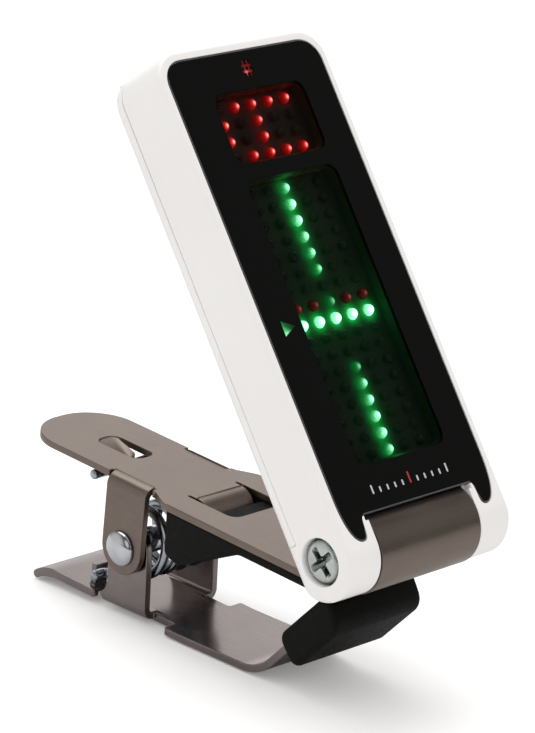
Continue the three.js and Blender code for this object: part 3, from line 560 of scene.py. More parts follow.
def black_rubber():
    shader = Shader("black_rubber", (0.011, 0.011, 0.0105), 0.6, specular=0.12)
    grain = shader.noise(0.18, 4, 0.6)
    dust = shader.noise(1.1, 6, 0.7)
    dusty = shader.ramp(dust, 0, 0.5, 0.5, 0.8)
    shader.set("Base Color", shader.mix(dusty, (0.0048, 0.0046, 0.0041), (0.011, 0.0105, 0.0098)))
    shader.set("Roughness", shader.ramp(grain, 0.5, 0.72))
    moulded = shader.bump(shader.noise(2.2, 2), 0.03)
    shader.bump(grain, 0.010, under=moulded)
    return shader.material


def plated(name, colour, roughness, grain=0.4, depth=0.0008):
    shader = Shader(name, colour, roughness, 1.0)
    cloud = shader.noise(1.6, 4)
    shader.set("Base Color", shader.mix(shader.ramp(cloud, 0, 1), colour, shade(colour, 0.86)))
    shader.set("Roughness", shader.ramp(cloud, roughness * 0.7, roughness * 1.4))
    shader.bump(shader.noise(grain, 3), depth)
    return shader.material


def zinc():
    """Bright zinc plate, with painted shade down in its recesses, tinted a dull green."""
    shader = Shader("zinc_screw", (0.66, 0.69, 0.66), 0.24, 1.0)
    shade = shader.node("AmbientOcclusion", {"samples": 6}, Distance=0.9 * MM)
    deep = shader.ramp(shade.outputs["AO"], 1.0, 0.0, 0.35, 0.9)
    cloud = shader.ramp(shader.noise(0.8, 4), 0, 1)
    bright = shader.mix(cloud, (0.70, 0.73, 0.70), (0.58, 0.62, 0.59))
    # Painted shade: the ambient-occlusion mask darkens the recesses to a dull green-grey.
    shader.set("Base Color", shader.mix(deep, bright, (0.07, 0.11, 0.10)))
    shader.set("Roughness", shader.ramp(shader.noise(0.4, 3), 0.16, 0.34))
    shader.bump(shader.noise(0.22, 3), 0.004)
    return shader.material


def circuit_board():
    shader = Shader("circuit_board", (0.02, 0.10, 0.05), 0.35)
    tracks = shader.node("TexBrick", Vector=shader.stretched(1, 1, 1), Scale=0.55)
    tracks.inputs["Mortar Size"].default_value = 0.05
    weave = shader.noise(0.3, 2)
    shader.set("Base Color", shader.mix(tracks.outputs["Fac"], (0.014, 0.085, 0.042), (0.03, 0.17, 0.08)))
    shader.set("Roughness", shader.ramp(weave, 0.3, 0.45))
    shader.bump(tracks.outputs["Fac"], 0.03)
    return shader.material


def printed(name, colour):
    shader = Shader(name, colour, 0.4)
    shader.set("Base Color", shader.mix(shader.noise(0.2, 3), colour, shade(colour, 0.8)))
    shader.bump(shader.noise(0.1, 2), 0.002)
    return shader.material


WHITE = white_plastic()
PANEL = smoked_acrylic()
PANEL_EDGE_HIGHLIGHT = panel_edge_highlight()
LENS = tinted_lens()
BLACK_TONES = ((0.009, 0.009, 0.009), (0.02, 0.02, 0.021))
BLACK = grained("black_plastic", BLACK_TONES, (0.42, 0.6), (0.25, 3), 0.012)
SHEET_ACROSS = steel("pewter_steel_barrel", (6.0, 0.10, 0.10))
SHEET = steel("pewter_steel", (0.16, 2.2, 0.16))
# Lighter copy of the pewter steel for the lower jaw: its lighter colour is a painted highlight.
SHEET_LOWER_LIT = steel("pewter_steel_lower_lit", (0.16, 2.2, 0.16), (0.27, 0.232, 0.222), roughness=0.2)
RUBBER = black_rubber()
CHROME = plated("chrome_plate", (0.72, 0.73, 0.76), 0.11, grain=0.6, depth=0.0006)
SPRING = plated("spring_steel", (0.50, 0.54, 0.60), 0.13, grain=0.5, depth=0.0015)
NICKEL = plated("nickel_plate", (0.60, 0.59, 0.56), 0.2)
ZINC = zinc()
BOARD = circuit_board()
KEY = grained("grey_rubber", ((0.15, 0.15, 0.155), (0.20, 0.20, 0.205)), (0.55, 0.55), (0.15, 3), 0.008)
BRASS = grained("brass_disc", ((0.62, 0.44, 0.19), (0.50, 0.34, 0.14)), (0.22, 0.42), (0.5, 4), 0.003,
                metallic=1.0)
ACETAL = grained("bush_acetal", BLACK_TONES, (0.42, 0.6), (0.25, 3), 0.012)
LAMP = lit("lamp_resin", (0.006, 0.008, 0.006), 0.2)
WELL = lit("lamp_well", (0.004, 0.004, 0.004), 0.4)


# ---- head: case -----------------------------------------------------------------------------------

CASE_LOW = local_box("rear_cover", HEAD)[0]
CASE_HIGH = local_box("front_housing", HEAD)[1]
HALF_WIDTH = CASE_HIGH.x
TOP = CASE_HIGH.y
FRONT = CASE_HIGH.z
REAR = CASE_LOW.z
COVER_LOW = CASE_LOW.y
PARTING = local_box("rear_cover", HEAD)[1].z - 0.71
SEAM_GAP = 0.035

CORNER = 3.2
REAR_ROUND = 1.5
FRONT_ROUND = 0.42
ARM_ROUND = 0.5
ARM_INNER = 7.8
FORK_FLOOR = 2.85
WALL = 1.35
POST_U, POST_V = 9.5, 8.5      # screw posts behind the panel's lower corners
BARREL_RADIUS = 4.55
FAR = 20                       # reach of a cutter that runs right through

PANEL_LOW, PANEL_HIGH = local_box("display_window", HEAD)
PANEL_HALF = PANEL_HIGH.x
PANEL_TOP = PANEL_HIGH.y
PANEL_BACK = PANEL_LOW.z

SCREW_LOW, SCREW_HIGH = local_box("hinge_screw", HEAD)
SCREW_RADIUS = SCREW_HIGH.y
SCREW_FACE = SCREW_LOW.x
NUT_LOW, NUT_HIGH = local_box("hinge_nut", HEAD)
DOOR_MIN, DOOR_MAX = local_box("battery_door", HEAD)
DOOR_LOW = DOOR_MIN.y
DOOR_HALF = DOOR_MAX.x - 0.5
KEY_MIN, KEY_MAX = local_box("power_button", HEAD)
KEY_V = (KEY_MIN.y + KEY_MAX.y) / 2
KEY_RADIUS = KEY_MAX.x - 0.8
KEY_FACE = KEY_MIN.z
CASE_SCREW_MIN, CASE_SCREW_MAX = local_box("case_screw_right", HEAD)
CASE_SCREW_U = (CASE_SCREW_MIN.x + CASE_SCREW_MAX.x) / 2
CASE_SCREW_V = (CASE_SCREW_MIN.y + CASE_SCREW_MAX.y) / 2


def edge_inset(distance, radius):
    """How far a rounded edge has pulled in, at a distance below the face it meets."""
    missing = min(radius, max(0.0, radius - distance))
    return radius - math.sqrt(radius * radius - missing * missing)


def case_skin():
    """The head's outside: a rounded slab whose lower end is half a cylinder about the hinge."""
    steps = 44
    rings = []
    for i in range(steps + 1):
        n = -FRONT * math.cos(math.pi * i / steps)
        inset = edge_inset(n - REAR, REAR_ROUND) + edge_inset(FRONT - n, FRONT_ROUND)
        low = -math.sqrt(max(0.0, FRONT * FRONT - n * n))
        half = HALF_WIDTH - inset
        ring = rounded([
            (-half, low, ARM_ROUND),
            (half, low, ARM_ROUND),
            (half, TOP - inset, CORNER - inset * 0.6),
            (-half, TOP - inset, CORNER - inset * 0.6),
        ], 10)
        rings.append([(x, y, n) for x, y in ring])
    return loft(rings)


def fork_gap():
    clearance = 0.3
    radius = BARREL_RADIUS + clearance
    slot = block(-ARM_INNER, ARM_INNER, -2 * FRONT, FORK_FLOOR, -2 * FRONT, 2 * FRONT)
    return slot.join(turned([(-ARM_INNER, radius), (ARM_INNER, radius)]))


def panel_outline(grow=0.0):
    """Square cut above the barrel, with a curved horn down each arm."""
    half = PANEL_HALF + grow
    floor = FORK_FLOOR + 0.1 - grow
    tip = PANEL_LOW.y - grow
    top = PANEL_TOP + grow
    side = [(8.3 + grow, floor)]
    side += bezier(side[-1], (8.62, floor), (8.78 - grow, floor - 0.3), (8.85 - grow, tip + 0.75), 6)
    side += bezier(side[-1], (8.9 - grow, tip + 0.2), (9.1, tip), (9.6, tip), 6)
    side += bezier(side[-1], (10.7, tip), (half, 1.9), (half, 5.6), 16)
    corner = rounded([(0, top, 0), (half, 0, 0), (half, top, 2.7 + grow), (0, top, 0)], 10)[2:-1]
    side += corner
    return side + [(-x, y) for x, y in reversed(side)]


def cross_outline(reach, half, radius):
    """Plus sign with rounded ends and inner corners."""
    corners = []
    for quarter in range(4):
        c, s = math.cos(quarter * math.pi / 2), math.sin(quarter * math.pi / 2)
        for x, y, r in ((reach, -half, radius), (reach, half, radius), (half, half, radius * 0.8)):
            corners.append((x * c - y * s, x * s + y * c, r))
    return rounded(corners, 4)


def front_housing():
    cavity_half = HALF_WIDTH - WALL - 0.05
    cavity_top = TOP - WALL
    well_seat = -10.75
    screw_well = turned([
        (-FAR, SCREW_RADIUS + 0.55),
        (-HALF_WIDTH - 0.02, SCREW_RADIUS + 0.30),
        (-HALF_WIDTH + 0.05, SCREW_RADIUS + 0.19),
        (-HALF_WIDTH + 0.16, SCREW_RADIUS + 0.12),
        (well_seat, SCREW_RADIUS + 0.12),
    ])
    nut_corner = (NUT_HIGH.z - NUT_LOW.z) / math.sqrt(3) + 0.12
    nut_well = prism(circle(0, 0, nut_corner, 6), NUT_LOW.x - 0.05, FAR, "x")
    nut_rim = prism(circle(0, 0, nut_corner + 0.09, 6), HALF_WIDTH - 0.07, FAR, "x")
    housing = case_skin().cut(
        fork_gap(),
        block(-cavity_half, cavity_half, 6.4, cavity_top, REAR - 1, PANEL_BACK - 0.1),
        block(-cavity_half + 0.2, cavity_half - 0.2, 6.7, PANEL_TOP - 0.8, 0, FRONT + 1),
        prism(panel_outline(0.05), PANEL_BACK - 0.04, FRONT + 1),
        block(-8.25, 8.25, FORK_FLOOR - 0.5, FORK_FLOOR + 0.4, PANEL_BACK - 0.04, FRONT + 1),
        block(-FAR, FAR, COVER_LOW - 0.06 + SEAM_GAP, TOP + 1, REAR - 1, PARTING + SEAM_GAP),
        turned([(-FAR, 1.7), (FAR, 1.7)]),
        screw_well,
        nut_well,
        nut_rim,
    )
    cover_face = local_box("battery_door", HEAD)[1].z
    for side in (-1, 1):
        post = prism(circle(side * POST_U, POST_V, 1.7), cover_face + 0.15, PANEL_BACK - 0.1)
        pilot = prism(circle(side * POST_U, POST_V, 0.75, 24), REAR, 1.6)
        housing.join(post).cut(pilot)

    def outside(point):
        on_gap = abs(abs(point.x) - ARM_INNER) < 0.02 and Vector((point.y, point.z)).length > FRONT - 0.1
        on_seam = abs(point.z - PARTING - SEAM_GAP) < 0.01 and abs(point.x) > cavity_half + 0.1
        on_face = abs(point.z - FRONT) < 0.01
        return on_gap or on_seam or on_face

    housing.soften(0.09, 2, 40, outside)
    place(housing, "front_housing_shell", HEAD, WHITE, "head", ["front_housing"],
          "white_gloss_plastic")


def rear_cover():
    inner = local_box("battery_door", HEAD)[1].z
    inside_half = HALF_WIDTH - WALL - 0.75
    cover = case_skin().cut(
        fork_gap(),
        block(-FAR, FAR, -FAR, COVER_LOW, -FAR, FAR),
        block(-FAR, FAR, -FAR, TOP + 1, PARTING - SEAM_GAP, FAR),
        block(-inside_half, inside_half, 10.8, TOP - WALL - 0.9, inner, FAR),
        block(-HALF_WIDTH + 1.25, HALF_WIDTH - 1.25, 6.4, 10.9, inner, FAR),
        block(-DOOR_HALF - 0.06, DOOR_HALF + 0.06, DOOR_LOW - 0.06, TOP + 5, -FAR, inner + 0.02),
        block(-DOOR_HALF - 0.55, DOOR_HALF + 0.55, DOOR_LOW - 0.06, TOP + 5, -3.56, inner + 0.08),
        prism(circle(0, KEY_V, KEY_RADIUS + 0.15, 64), -FAR, FAR),
    )
    for side in (-1, 1):
        at = (side * CASE_SCREW_U, CASE_SCREW_V)
        shank, sunk = [(-FAR, 0.95), (FAR, 0.95)], [(-FAR, 1.75), (-3.6, 1.75)]
        cover.cut(turned(shank, "z", at), turned(sunk, "z", at))

    def outside(point):
        on_seam = abs(point.z - PARTING + SEAM_GAP) < 0.01 and abs(point.x) > inside_half + 1
        below_door = point.z < REAR + 0.25 and point.y < DOOR_LOW - 0.5
        return on_seam or below_door or abs(point.y - COVER_LOW) < 0.01

    cover.soften(0.09, 2, 40, outside)
    place(cover, "rear_cover_shell", HEAD, WHITE, "head", ["rear_cover"], "white_gloss_plastic")


def battery_door():
    inner = DOOR_MAX.z
    door = case_skin().cut(
        block(-FAR, FAR, -FAR, DOOR_LOW, -FAR, FAR),
        block(-FAR, FAR, -FAR, TOP + 1, inner, FAR),
        block(DOOR_HALF, FAR, -FAR, TOP + 1, -FAR, FAR),
        block(-FAR, -DOOR_HALF, -FAR, TOP + 1, -FAR, FAR),
    )
    tongue_back = -3.5
    door.join(block(-DOOR_MAX.x, DOOR_MAX.x, DOOR_LOW, TOP - 0.4, tongue_back, inner))
    ridges = 6
    for i in range(ridges):
        half = 4.8 - 0.35 * i
        groove = prism(box_outline(-half, half, 0, 0.62, 0.3), REAR - 1, REAR + 0.32)
        door.cut(groove.move(y=DOOR_LOW + 2.6 + i * 1.25))
    door.soften(0.11, 3, 40, lambda point: point.z < REAR + 0.4)
    place(door, "battery_door_panel", HEAD, WHITE, "battery_door", ["battery_door"],
          "white_gloss_plastic")


def power_button():
    """Soft key with a shallow dished cap and a moulded ring."""
    r = KEY_RADIUS
    profile = [(KEY_FACE + 0.10, 0), (KEY_FACE + 0.07, r * 0.3), (KEY_FACE + 0.01, r * 0.52)]
    profile += [(KEY_FACE + 0.06, r * 0.56), (KEY_FACE + 0.06, r * 0.62), (KEY_FACE, r * 0.66)]
    profile += [(KEY_FACE + 0.01, r * 0.86), (KEY_FACE + 0.08, r * 0.95), (KEY_FACE + 0.22, r)]
    profile += [(-2.92, r), (-2.92, r + 0.8), (KEY_MAX.z - 0.6, r + 0.8), (KEY_MAX.z - 0.6, 1.3)]
    profile += [(KEY_MAX.z, 1.3), (KEY_MAX.z, 0)]
    key = turned(profile, "z", (0, KEY_V))
    place(key, "power_button_key", HEAD, KEY, "power_button", ["power_button"], "grey_rubber")


def case_screw(side, node):
    face = CASE_SCREW_MIN.z
    end = CASE_SCREW_MAX.z
    profile = [(face, 0), (face, 1.25), (face + 0.06, 1.45), (face + 0.18, 1.58), (face + 0.55, 1.6)]
    profile += [(face + 0.56, 0.68), (end - 0.4, 0.68), (end, 0.15), (end, 0)]
    at = (side * CASE_SCREW_U, CASE_SCREW_V)
    screw = turned(profile, "z", at)
    screw.cut(cross_recess(1.05, 0.24, 0.5).turn(20 * side).move(at[0], at[1], face))
    place(screw, node + "_turned", HEAD, ZINC, "head", [node], "zinc_screw")


def cross_recess(reach, half, depth):
    """Tapered plus-shaped cutter that goes depth below z = 0, towards +z."""
    rings = []
    for level, share in ((-0.3, 1.08), (0.0, 1.0), (depth * 0.7, 0.72), (depth, 0.42)):
        outline = cross_outline(reach * share, half * (0.55 + 0.45 * share), half * 0.45)
        rings.append([(x, y, level) for x, y in outline])
    return loft(rings)


def hinge_screw():
    """Pan head with a cross recess, sunk in the left arm."""
    r = SCREW_RADIUS
    face = SCREW_FACE
    seat = face + 1.55
    profile = [(face, 0), (face, r * 0.62), (face + 0.10, r * 0.80), (face + 0.30, r * 0.92)]
    profile += [(face + 0.62, r * 0.985), (face + 0.85, r), (seat, r), (seat, 1.5)]
    profile += [(SCREW_HIGH.x - 0.3, 1.5), (SCREW_HIGH.x, 1.2), (SCREW_HIGH.x, 0)]
    screw = turned(profile, "x")
    recess = cross_recess(1.78, 0.40, 1.25).turn(-9)
    recess.turn(90, "Y").move(face)
    nick = turned([(face - 1, 0.78), (face + 0.75, 0.62), (face + 1.3, 0.05)], "x", steps=24)
    screw.cut(recess, nick)
    screw.soften(0.05, 2, 45, lambda point: point.x < face + 0.5)
    place(screw, "hinge_screw_turned", HEAD, ZINC, "head", ["hinge_screw"], "zinc_screw")


def hinge_nut():
    across = NUT_HIGH.z - NUT_LOW.z
    low, high = NUT_LOW.x, NUT_HIGH.x
    nut = prism(circle(0, 0, across / math.sqrt(3), 6), low, high, "x")
    flat, corner = across * 0.5, across * 0.6
    crown = turned([(low, flat), (low + 0.3, corner), (high - 0.3, corner), (high, flat)])
    nut.keep(crown).cut(turned([(-FAR, 1.56), (FAR, 1.56)]))
    nut.soften(0.06, 2, 50)
    place(nut, "hinge_nut_turned", HEAD, ZINC, "head", ["hinge_nut"], "zinc_screw")


# ---- head: display --------------------------------------------------------------------------------

ROW_PITCH = 1.89
COLUMN_PITCH = 2.52
STROBE_MID = 24.2
NOTE_TOP_ROW = 49.2
COLUMNS = 5
BAFFLE_LOW, BAFFLE_HIGH = local_box("light_baffle", HEAD)
STROBE_LOW, STROBE_HIGH = local_box("strobe_leds", HEAD)
NOTE_LOW, NOTE_HIGH = local_box("note_leds", HEAD)
MARKER_LOW, MARKER_HIGH = local_box("marker_light", HEAD)
SHARP_LOW, SHARP_HIGH = local_box("sharp_led", HEAD)
SHARP_X = (SHARP_LOW.x + SHARP_HIGH.x) / 2
SHARP_Y = (SHARP_LOW.y + SHARP_HIGH.y) / 2
LAMP_BASE = STROBE_LOW.z + 0.25
LAMP_RADIUS = 0.66
LAMP_HEIGHT = 0.72
WELL_GAP = 0.15
LENS_BACK = FRONT - 0.34
LENS_FRONT = FRONT - 0.03

GREEN = Vector((0.0, 1.0, 0.13))
GREEN_CORE = Vector((0.36, 1.0, 0.62))
RED = Vector((1.0, 0.004, 0.006))
RED_CORE = Vector((1.0, 0.30, 0.26))
DARK = Vector((0, 0, 0))
# Shares of the lamps' light that shows on unlit lamps, on their carrier and on the wells' walls.
DARK_LAMP_CATCH = 1.2
CARRIER_CATCH = 1.5
WALL_CATCH = 3.5


def well_outline(low, high, inset=0.0):
    """Rounded opening over a lamp matrix; inset is measured from the baffle's wall."""
    gap = WELL_GAP - inset
    return box_outline(low.x - gap, high.x + gap, low.y - gap, high.y + gap, 1.3 - inset)


def lamp_states():
    """(across, along, colour, core colour, power) of every lamp of the two matrices."""
    centre_rows = {-8: 0.62, -7: 0.95, -6: 0.95, -5: 0.75, -4: 0.62, -3: 0.42, -1: 0.22,
                   3: 0.22, 4: 0.6, 5: 0.78, 6: 0.92, 7: 0.92, 8: 0.62}
    lamps = []
    for row in range(-8, 9):
        for column in range(COLUMNS):
            across = (column - 2) * COLUMN_PITCH
            along = STROBE_MID - row * ROW_PITCH
            if row == 0:
                lamps.append((across, along, GREEN, GREEN_CORE, 1.5))
            elif column == 2 and row in centre_rows:
                lamps.append((across, along, GREEN, GREEN_CORE, centre_rows[row]))
            elif row == -1:
                lamps.append((across, along, RED, RED_CORE, 0.07))
            else:
                lamps.append((across, along, GREEN, GREEN_CORE, 0.0))
    note = (" ####", "# #  ", "# #  ", " ####")
    for row, cells in enumerate(note):
        for column, cell in enumerate(cells):
            across = (column - 2) * COLUMN_PITCH
            along = NOTE_TOP_ROW - row * ROW_PITCH
            lamps.append((across, along, RED, RED_CORE, 0.62 if cell == "#" else 0.0))
    return lamps


LAMPS = lamp_states()


def borrowed_light(x, y):
    """Light that a point of the wells catches from the lit lamps around it."""
    total = Vector((0, 0, 0))
    for across, along, colour, _, power in LAMPS:
        if power > 0:
            distance = math.hypot(x - across, y - along)
            halo, spread = (0.42, 0.020) if colour is GREEN else (0.10, 0.010)
            caught = halo * math.exp(-(distance / 0.78) ** 2) + spread / (0.5 + distance ** 2.2)
            total += colour * (caught * power ** 1.3)
    return total


def place_lit(solid, name, light, material, stands_for, slot):
    """Places a piece of the head whose points hold the light that the light function gives them."""
    values = [light(vertex.co) for vertex in solid.object.data.vertices]
    piece = place(solid, name, HEAD, material, "head", stands_for, slot, weighted=False)
    attribute = piece.data.attributes.new("glow", "FLOAT_COLOR", "POINT")
    for item, value in zip(attribute.data, values):
        item.color = (*value, 1)


def lamp_dome(bm, across, along, radius, base, height):
    """Clear-cast round lamp on a short collar."""
    sides = 20
    collar = 0.13
    cap = 0.92
    levels = [(base, 1.0), (base + collar - 0.01, 1.0), (base + collar, cap)]
    for degrees in (20, 38, 52, 63, 71, 77, 83):
        angle = math.radians(degrees)
        levels.append((base + collar + (height - collar) * math.sin(angle), cap * math.cos(angle)))
    rows = [[bm.verts.new((x, y, level)) for x, y in circle(across, along, radius * share, sides)]
            for level, share in levels]
    for near, far in zip(rows, rows[1:]):
        for i in range(sides):
            bm.faces.new((near[i], near[(i + 1) % sides], far[(i + 1) % sides], far[i]))
    bm.faces.new(rows[0][::-1])
    top = bm.verts.new((across, along, base + height))
    for i in range(sides):
        bm.faces.new((rows[-1][i], rows[-1][(i + 1) % sides], top))


def lamp_glow(x, y, lamp, radius):
    """A lit lamp is hot on the side that its chip shows through, and deep-coloured at its rim."""
    across, along, colour, core, power = lamp
    if power == 0:
        return borrowed_light(x, y) * DARK_LAMP_CATCH
    away = math.hypot(x - across - 0.14 * radius, y - along + 0.12 * radius) / radius
    if colour is GREEN:
        heat = math.exp(-(away / (0.28 + 0.34 * power)) ** 2)
        body = math.exp(-(away / 0.80) ** 2)
        return colour * (0.05 + 1.5 * power * body) + core * (heat * 4.4 * power)
    heat = math.exp(-(away / 0.27) ** 2)
    body = math.exp(-(away / 0.62) ** 2)
    return colour * (power * (0.10 + 2.3 * body)) + core * (heat * 5.0 * power)


def grid_block(bm, low, high, spacing):
    """Block whose top is divided finely enough to hold a pattern of light."""
    width, length = high.x - low.x, high.y - low.y
    columns = max(2, round(width / spacing))
    rows = max(2, round(length / spacing))
    grid = [[bm.verts.new((low.x + width * i / columns, low.y + length * j / rows, high.z))
             for i in range(columns + 1)] for j in range(rows + 1)]
    for j in range(rows):
        for i in range(columns):
            bm.faces.new((grid[j][i], grid[j][i + 1], grid[j + 1][i + 1], grid[j + 1][i]))
    rim = [edge for edge in bm.edges if len(edge.link_faces) == 1]
    walls = bmesh.ops.extrude_edge_only(bm, edges=rim)["geom"]
    for vertex in (v for v in walls if isinstance(v, bmesh.types.BMVert)):
        vertex.co.z = low.z
    bmesh.ops.holes_fill(bm, edges=[e for e in bm.edges if len(e.link_faces) == 1], sides=0)


def lamp_matrix(name, node, low, high, slot):
    """Carrier with one dome per lamp, each point holding the light it gives or catches."""
    chosen = [lamp for lamp in LAMPS if low.y < lamp[1] < high.y]
    bm = bmesh.new()
    grid_block(bm, low, Vector((high.x, high.y, LAMP_BASE)), 0.4)
    for lamp in chosen:
        lamp_dome(bm, lamp[0], lamp[1], LAMP_RADIUS, LAMP_BASE + 0.01, LAMP_HEIGHT)

    def light(co):
        if co.z > LAMP_BASE + 0.005:
            nearest = min(chosen, key=lambda lamp: math.hypot(co.x - lamp[0], co.y - lamp[1]))
            return lamp_glow(co.x, co.y, nearest, LAMP_RADIUS)
        return borrowed_light(co.x, co.y) * CARRIER_CATCH

    place_lit(Solid(bm), name, light, LAMP, [node], slot)


def light_baffle():
    """Black plate round the lamps, with collars that reach up through the panel's openings."""
    low, high = BAFFLE_LOW, BAFFLE_HIGH
    plate = prism(box_outline(low.x, high.x, low.y, high.y, 0.6), low.z, high.z)
    for side in (-1, 1):
        x0, x1 = sorted((side * 9.0, side * FAR))
        plate.cut(block(x0, x1, 0, 10.5, 0, FAR), prism(circle(side * POST_U, POST_V, 2.1), 0, FAR))
    wall = 0.22
    for well_low, well_high in ((STROBE_LOW, STROBE_HIGH), (NOTE_LOW, NOTE_HIGH)):
        outer = dense(well_outline(well_low, well_high), 0.5)
        centre_x = (well_low.x + well_high.x) / 2
        centre_y = (well_low.y + well_high.y) / 2
        share_x = 1 - wall / (well_high.x - centre_x)
        share_y = 1 - wall / (well_high.y - centre_y)
        inner = [(centre_x + (x - centre_x) * share_x, centre_y + (y - centre_y) * share_y)
                 for x, y in outer]
        plate.cut(prism(outer, 0, FAR))
        levels = (low.z, (low.z + LENS_BACK) / 2, LENS_BACK - 0.03)
        rings = [[(x, y, z) for x, y in outer] for z in levels]
        rings += [[(x, y, z) for x, y in inner] for z in reversed(levels)]
        plate.join(loft(rings, closed=True))
    plate.cut(turned([(0, 0.75), (FAR, 0.75)], "z", (SHARP_X, SHARP_Y)))
    plate.cut(prism(marker_outline(0.1), 0, FAR))

    def light(co):
        return borrowed_light(co.x, co.y) * WALL_CATCH if co.z > STROBE_LOW.z else DARK

    place_lit(plate, "light_baffle_moulding", light, WELL, ["light_baffle"], "black_plastic")


def marker_outline(grow=0.0):
    base, tip = MARKER_LOW.x, MARKER_HIGH.x
    middle = (MARKER_LOW.y + MARKER_HIGH.y) / 2
    half = (MARKER_HIGH.y - MARKER_LOW.y) / 2 + grow
    return [(tip + grow, middle), (base - grow, middle + half), (base - grow, middle - half)]


def sharp_outlines():
    """Strokes of the sharp sign cut in the panel, as (x0, x1, y0, y1)."""
    x = 0.25
    y = SHARP_Y + 0.05
    upright = [(x + dx - 0.11, x + dx + 0.11, y - 0.95, y + 0.95) for dx in (-0.3, 0.3)]
    level = [(x - 0.68, x + 0.68, y + dy - 0.12, y + dy + 0.12) for dy in (-0.34, 0.34)]
    return upright + level


def display_window():
    """Glossy black panel, cut through over the lamps and under the sharp sign and the marker."""
    panel = prism(panel_outline(), PANEL_BACK, FRONT)
    panel.cut(
        turned([(-ARM_INNER, BARREL_RADIUS + 0.2), (ARM_INNER, BARREL_RADIUS + 0.2)]),
        prism(well_outline(STROBE_LOW, STROBE_HIGH, -0.03), 0, FAR),
        prism(well_outline(NOTE_LOW, NOTE_HIGH, -0.03), 0, FAR),
        prism(marker_outline(0.02), 0, FAR),
    )
    panel.cut(block(-0.92, 1.42, SHARP_Y - 1.22, SHARP_Y + 1.32, 0, FRONT - 0.12))
    for x0, x1, y0, y1 in sharp_outlines():
        panel.cut(block(x0, x1, y0, y1, 0, FAR))

    def on_rim(point):
        low_edge = point.y < FORK_FLOOR + 0.3 and abs(point.x) < 8.5
        outermost = point.y < 8 or abs(point.x) > PANEL_HALF - 0.02
        side_edge = abs(abs(point.x) - PANEL_HALF) < 2.8 and outermost
        return abs(point.z - FRONT) < 0.01 and (low_edge or side_edge or point.y > PANEL_TOP - 3)

    panel.soften(0.16, 3, 40, on_rim)

    # Faces of the outer edge get the lighter material, a painted highlight.
    def edge_face(centre, normal):
        ends = centre.y > PANEL_TOP - 0.3 or centre.y < FORK_FLOOR + 0.25
        return normal.dot(HEAD_OUT) < 0.98 and (ends or abs(centre.x) > PANEL_HALF - 0.3)

    piece = place(panel, "display_window_panel", HEAD, PANEL, "head", ["display_window"],
                  "smoked_acrylic")
    second_material(piece, HEAD, PANEL_EDGE_HIGHLIGHT, edge_face)


def display_lenses():
    """Clear tinted inserts that close the panel's openings, just below its face."""
    for name, low, high in (("strobe_lens", STROBE_LOW, STROBE_HIGH), ("note_lens", NOTE_LOW, NOTE_HIGH)):
        lens = prism(well_outline(low, high, 0.01), LENS_BACK, LENS_FRONT, edge=0.04, steps=2)
        place(lens, name, HEAD, LENS, "head", slot="smoked_acrylic")


def marker_light():
    """Light pipe whose face shows in the panel; its light comes in from the side nearest the base."""

    def light(co):
        if co.z <= FRONT - 0.2:
            return DARK
        x = (co.x - MARKER_LOW.x) / (MARKER_HIGH.x - MARKER_LOW.x)
        y = (co.y - MARKER_LOW.y) / (MARKER_HIGH.y - MARKER_LOW.y)
        share = max(0.0, 1 - 1.15 * x) * (1.0 - 0.75 * y)
        return GREEN * (0.02 + 0.55 * share ** 1.5) + GREEN_CORE * (1.3 * share ** 4)

    pipe = prism(dense(marker_outline(), 0.25), MARKER_LOW.z, LENS_FRONT)
    place_lit(pipe, "marker_light_pipe", light, LAMP, ["marker_light"], "green_lamp")


def sharp_led():
    """Lamp under the sharp sign, and the diffuser above it that fills the sign with light."""
    radius = 0.62
    state = (SHARP_X, SHARP_Y, RED, RED_CORE, 0.75)
    bm = bmesh.new()
    lamp_dome(bm, SHARP_X, SHARP_Y, radius, SHARP_LOW.z, SHARP_HIGH.z - SHARP_LOW.z)
    place_lit(Solid(bm), "sharp_lamp", lambda co: lamp_glow(co.x, co.y, state, radius),
              LAMP, ["sharp_led"], "red_lamp")

    def light(co):
        away = math.hypot(co.x - 0.02, co.y - SHARP_Y + 0.42)
        haze = 0.11 + 0.30 * math.exp(-(away / 0.6) ** 2)
        return RED * haze + RED_CORE * (0.7 * math.exp(-(away / 0.22) ** 2))

    bm = bmesh.new()
    low = Vector((-0.9, SHARP_Y - 1.2, PANEL_BACK + 0.02))
    grid_block(bm, low, Vector((1.4, SHARP_Y + 1.3, FRONT - 0.13)), 0.12)
    place_lit(Solid(bm), "sharp_diffuser", light, LAMP, (), "red_lamp")


def printed_scale():
    """Small printed cents scale above the barrel: a red middle tick between light grey ones."""
    grey = printed("print_grey", (0.55, 0.55, 0.55))
    red = printed("print_red", (0.45, 0.02, 0.02))
    ticks = 11
    pitch = 1.15
    for i in range(ticks):
        from_middle = i - ticks // 2
        tall = 1.3 if from_middle == 0 else 1.0 if abs(from_middle) == ticks // 2 else 0.62
        x = from_middle * pitch
        outline = box_outline(x - 0.12, x + 0.12, 4.75, 4.75 + tall, 0.1, 3)
        tick = prism(outline, FRONT - 0.005, FRONT + 0.012)
        material = red if from_middle == 0 else grey
        place(tick, f"scale_tick_{i + 1:02d}", HEAD, material, "head", slot="smoked_acrylic")


front_housing()
rear_cover()
battery_door()
power_button()
case_screw(-1, "case_screw_left")
case_screw(1, "case_screw_right")
hinge_screw()
hinge_nut()
light_baffle()
lamp_matrix("strobe_lamps", "strobe_leds", STROBE_LOW, STROBE_HIGH, "green_lamp")
lamp_matrix("note_lamps", "note_leds", NOTE_LOW, NOTE_HIGH, "red_lamp")
marker_light()
sharp_led()
display_window()
display_lenses()
printed_scale()


# ---- upper clip -----------------------------------------------------------------------------------

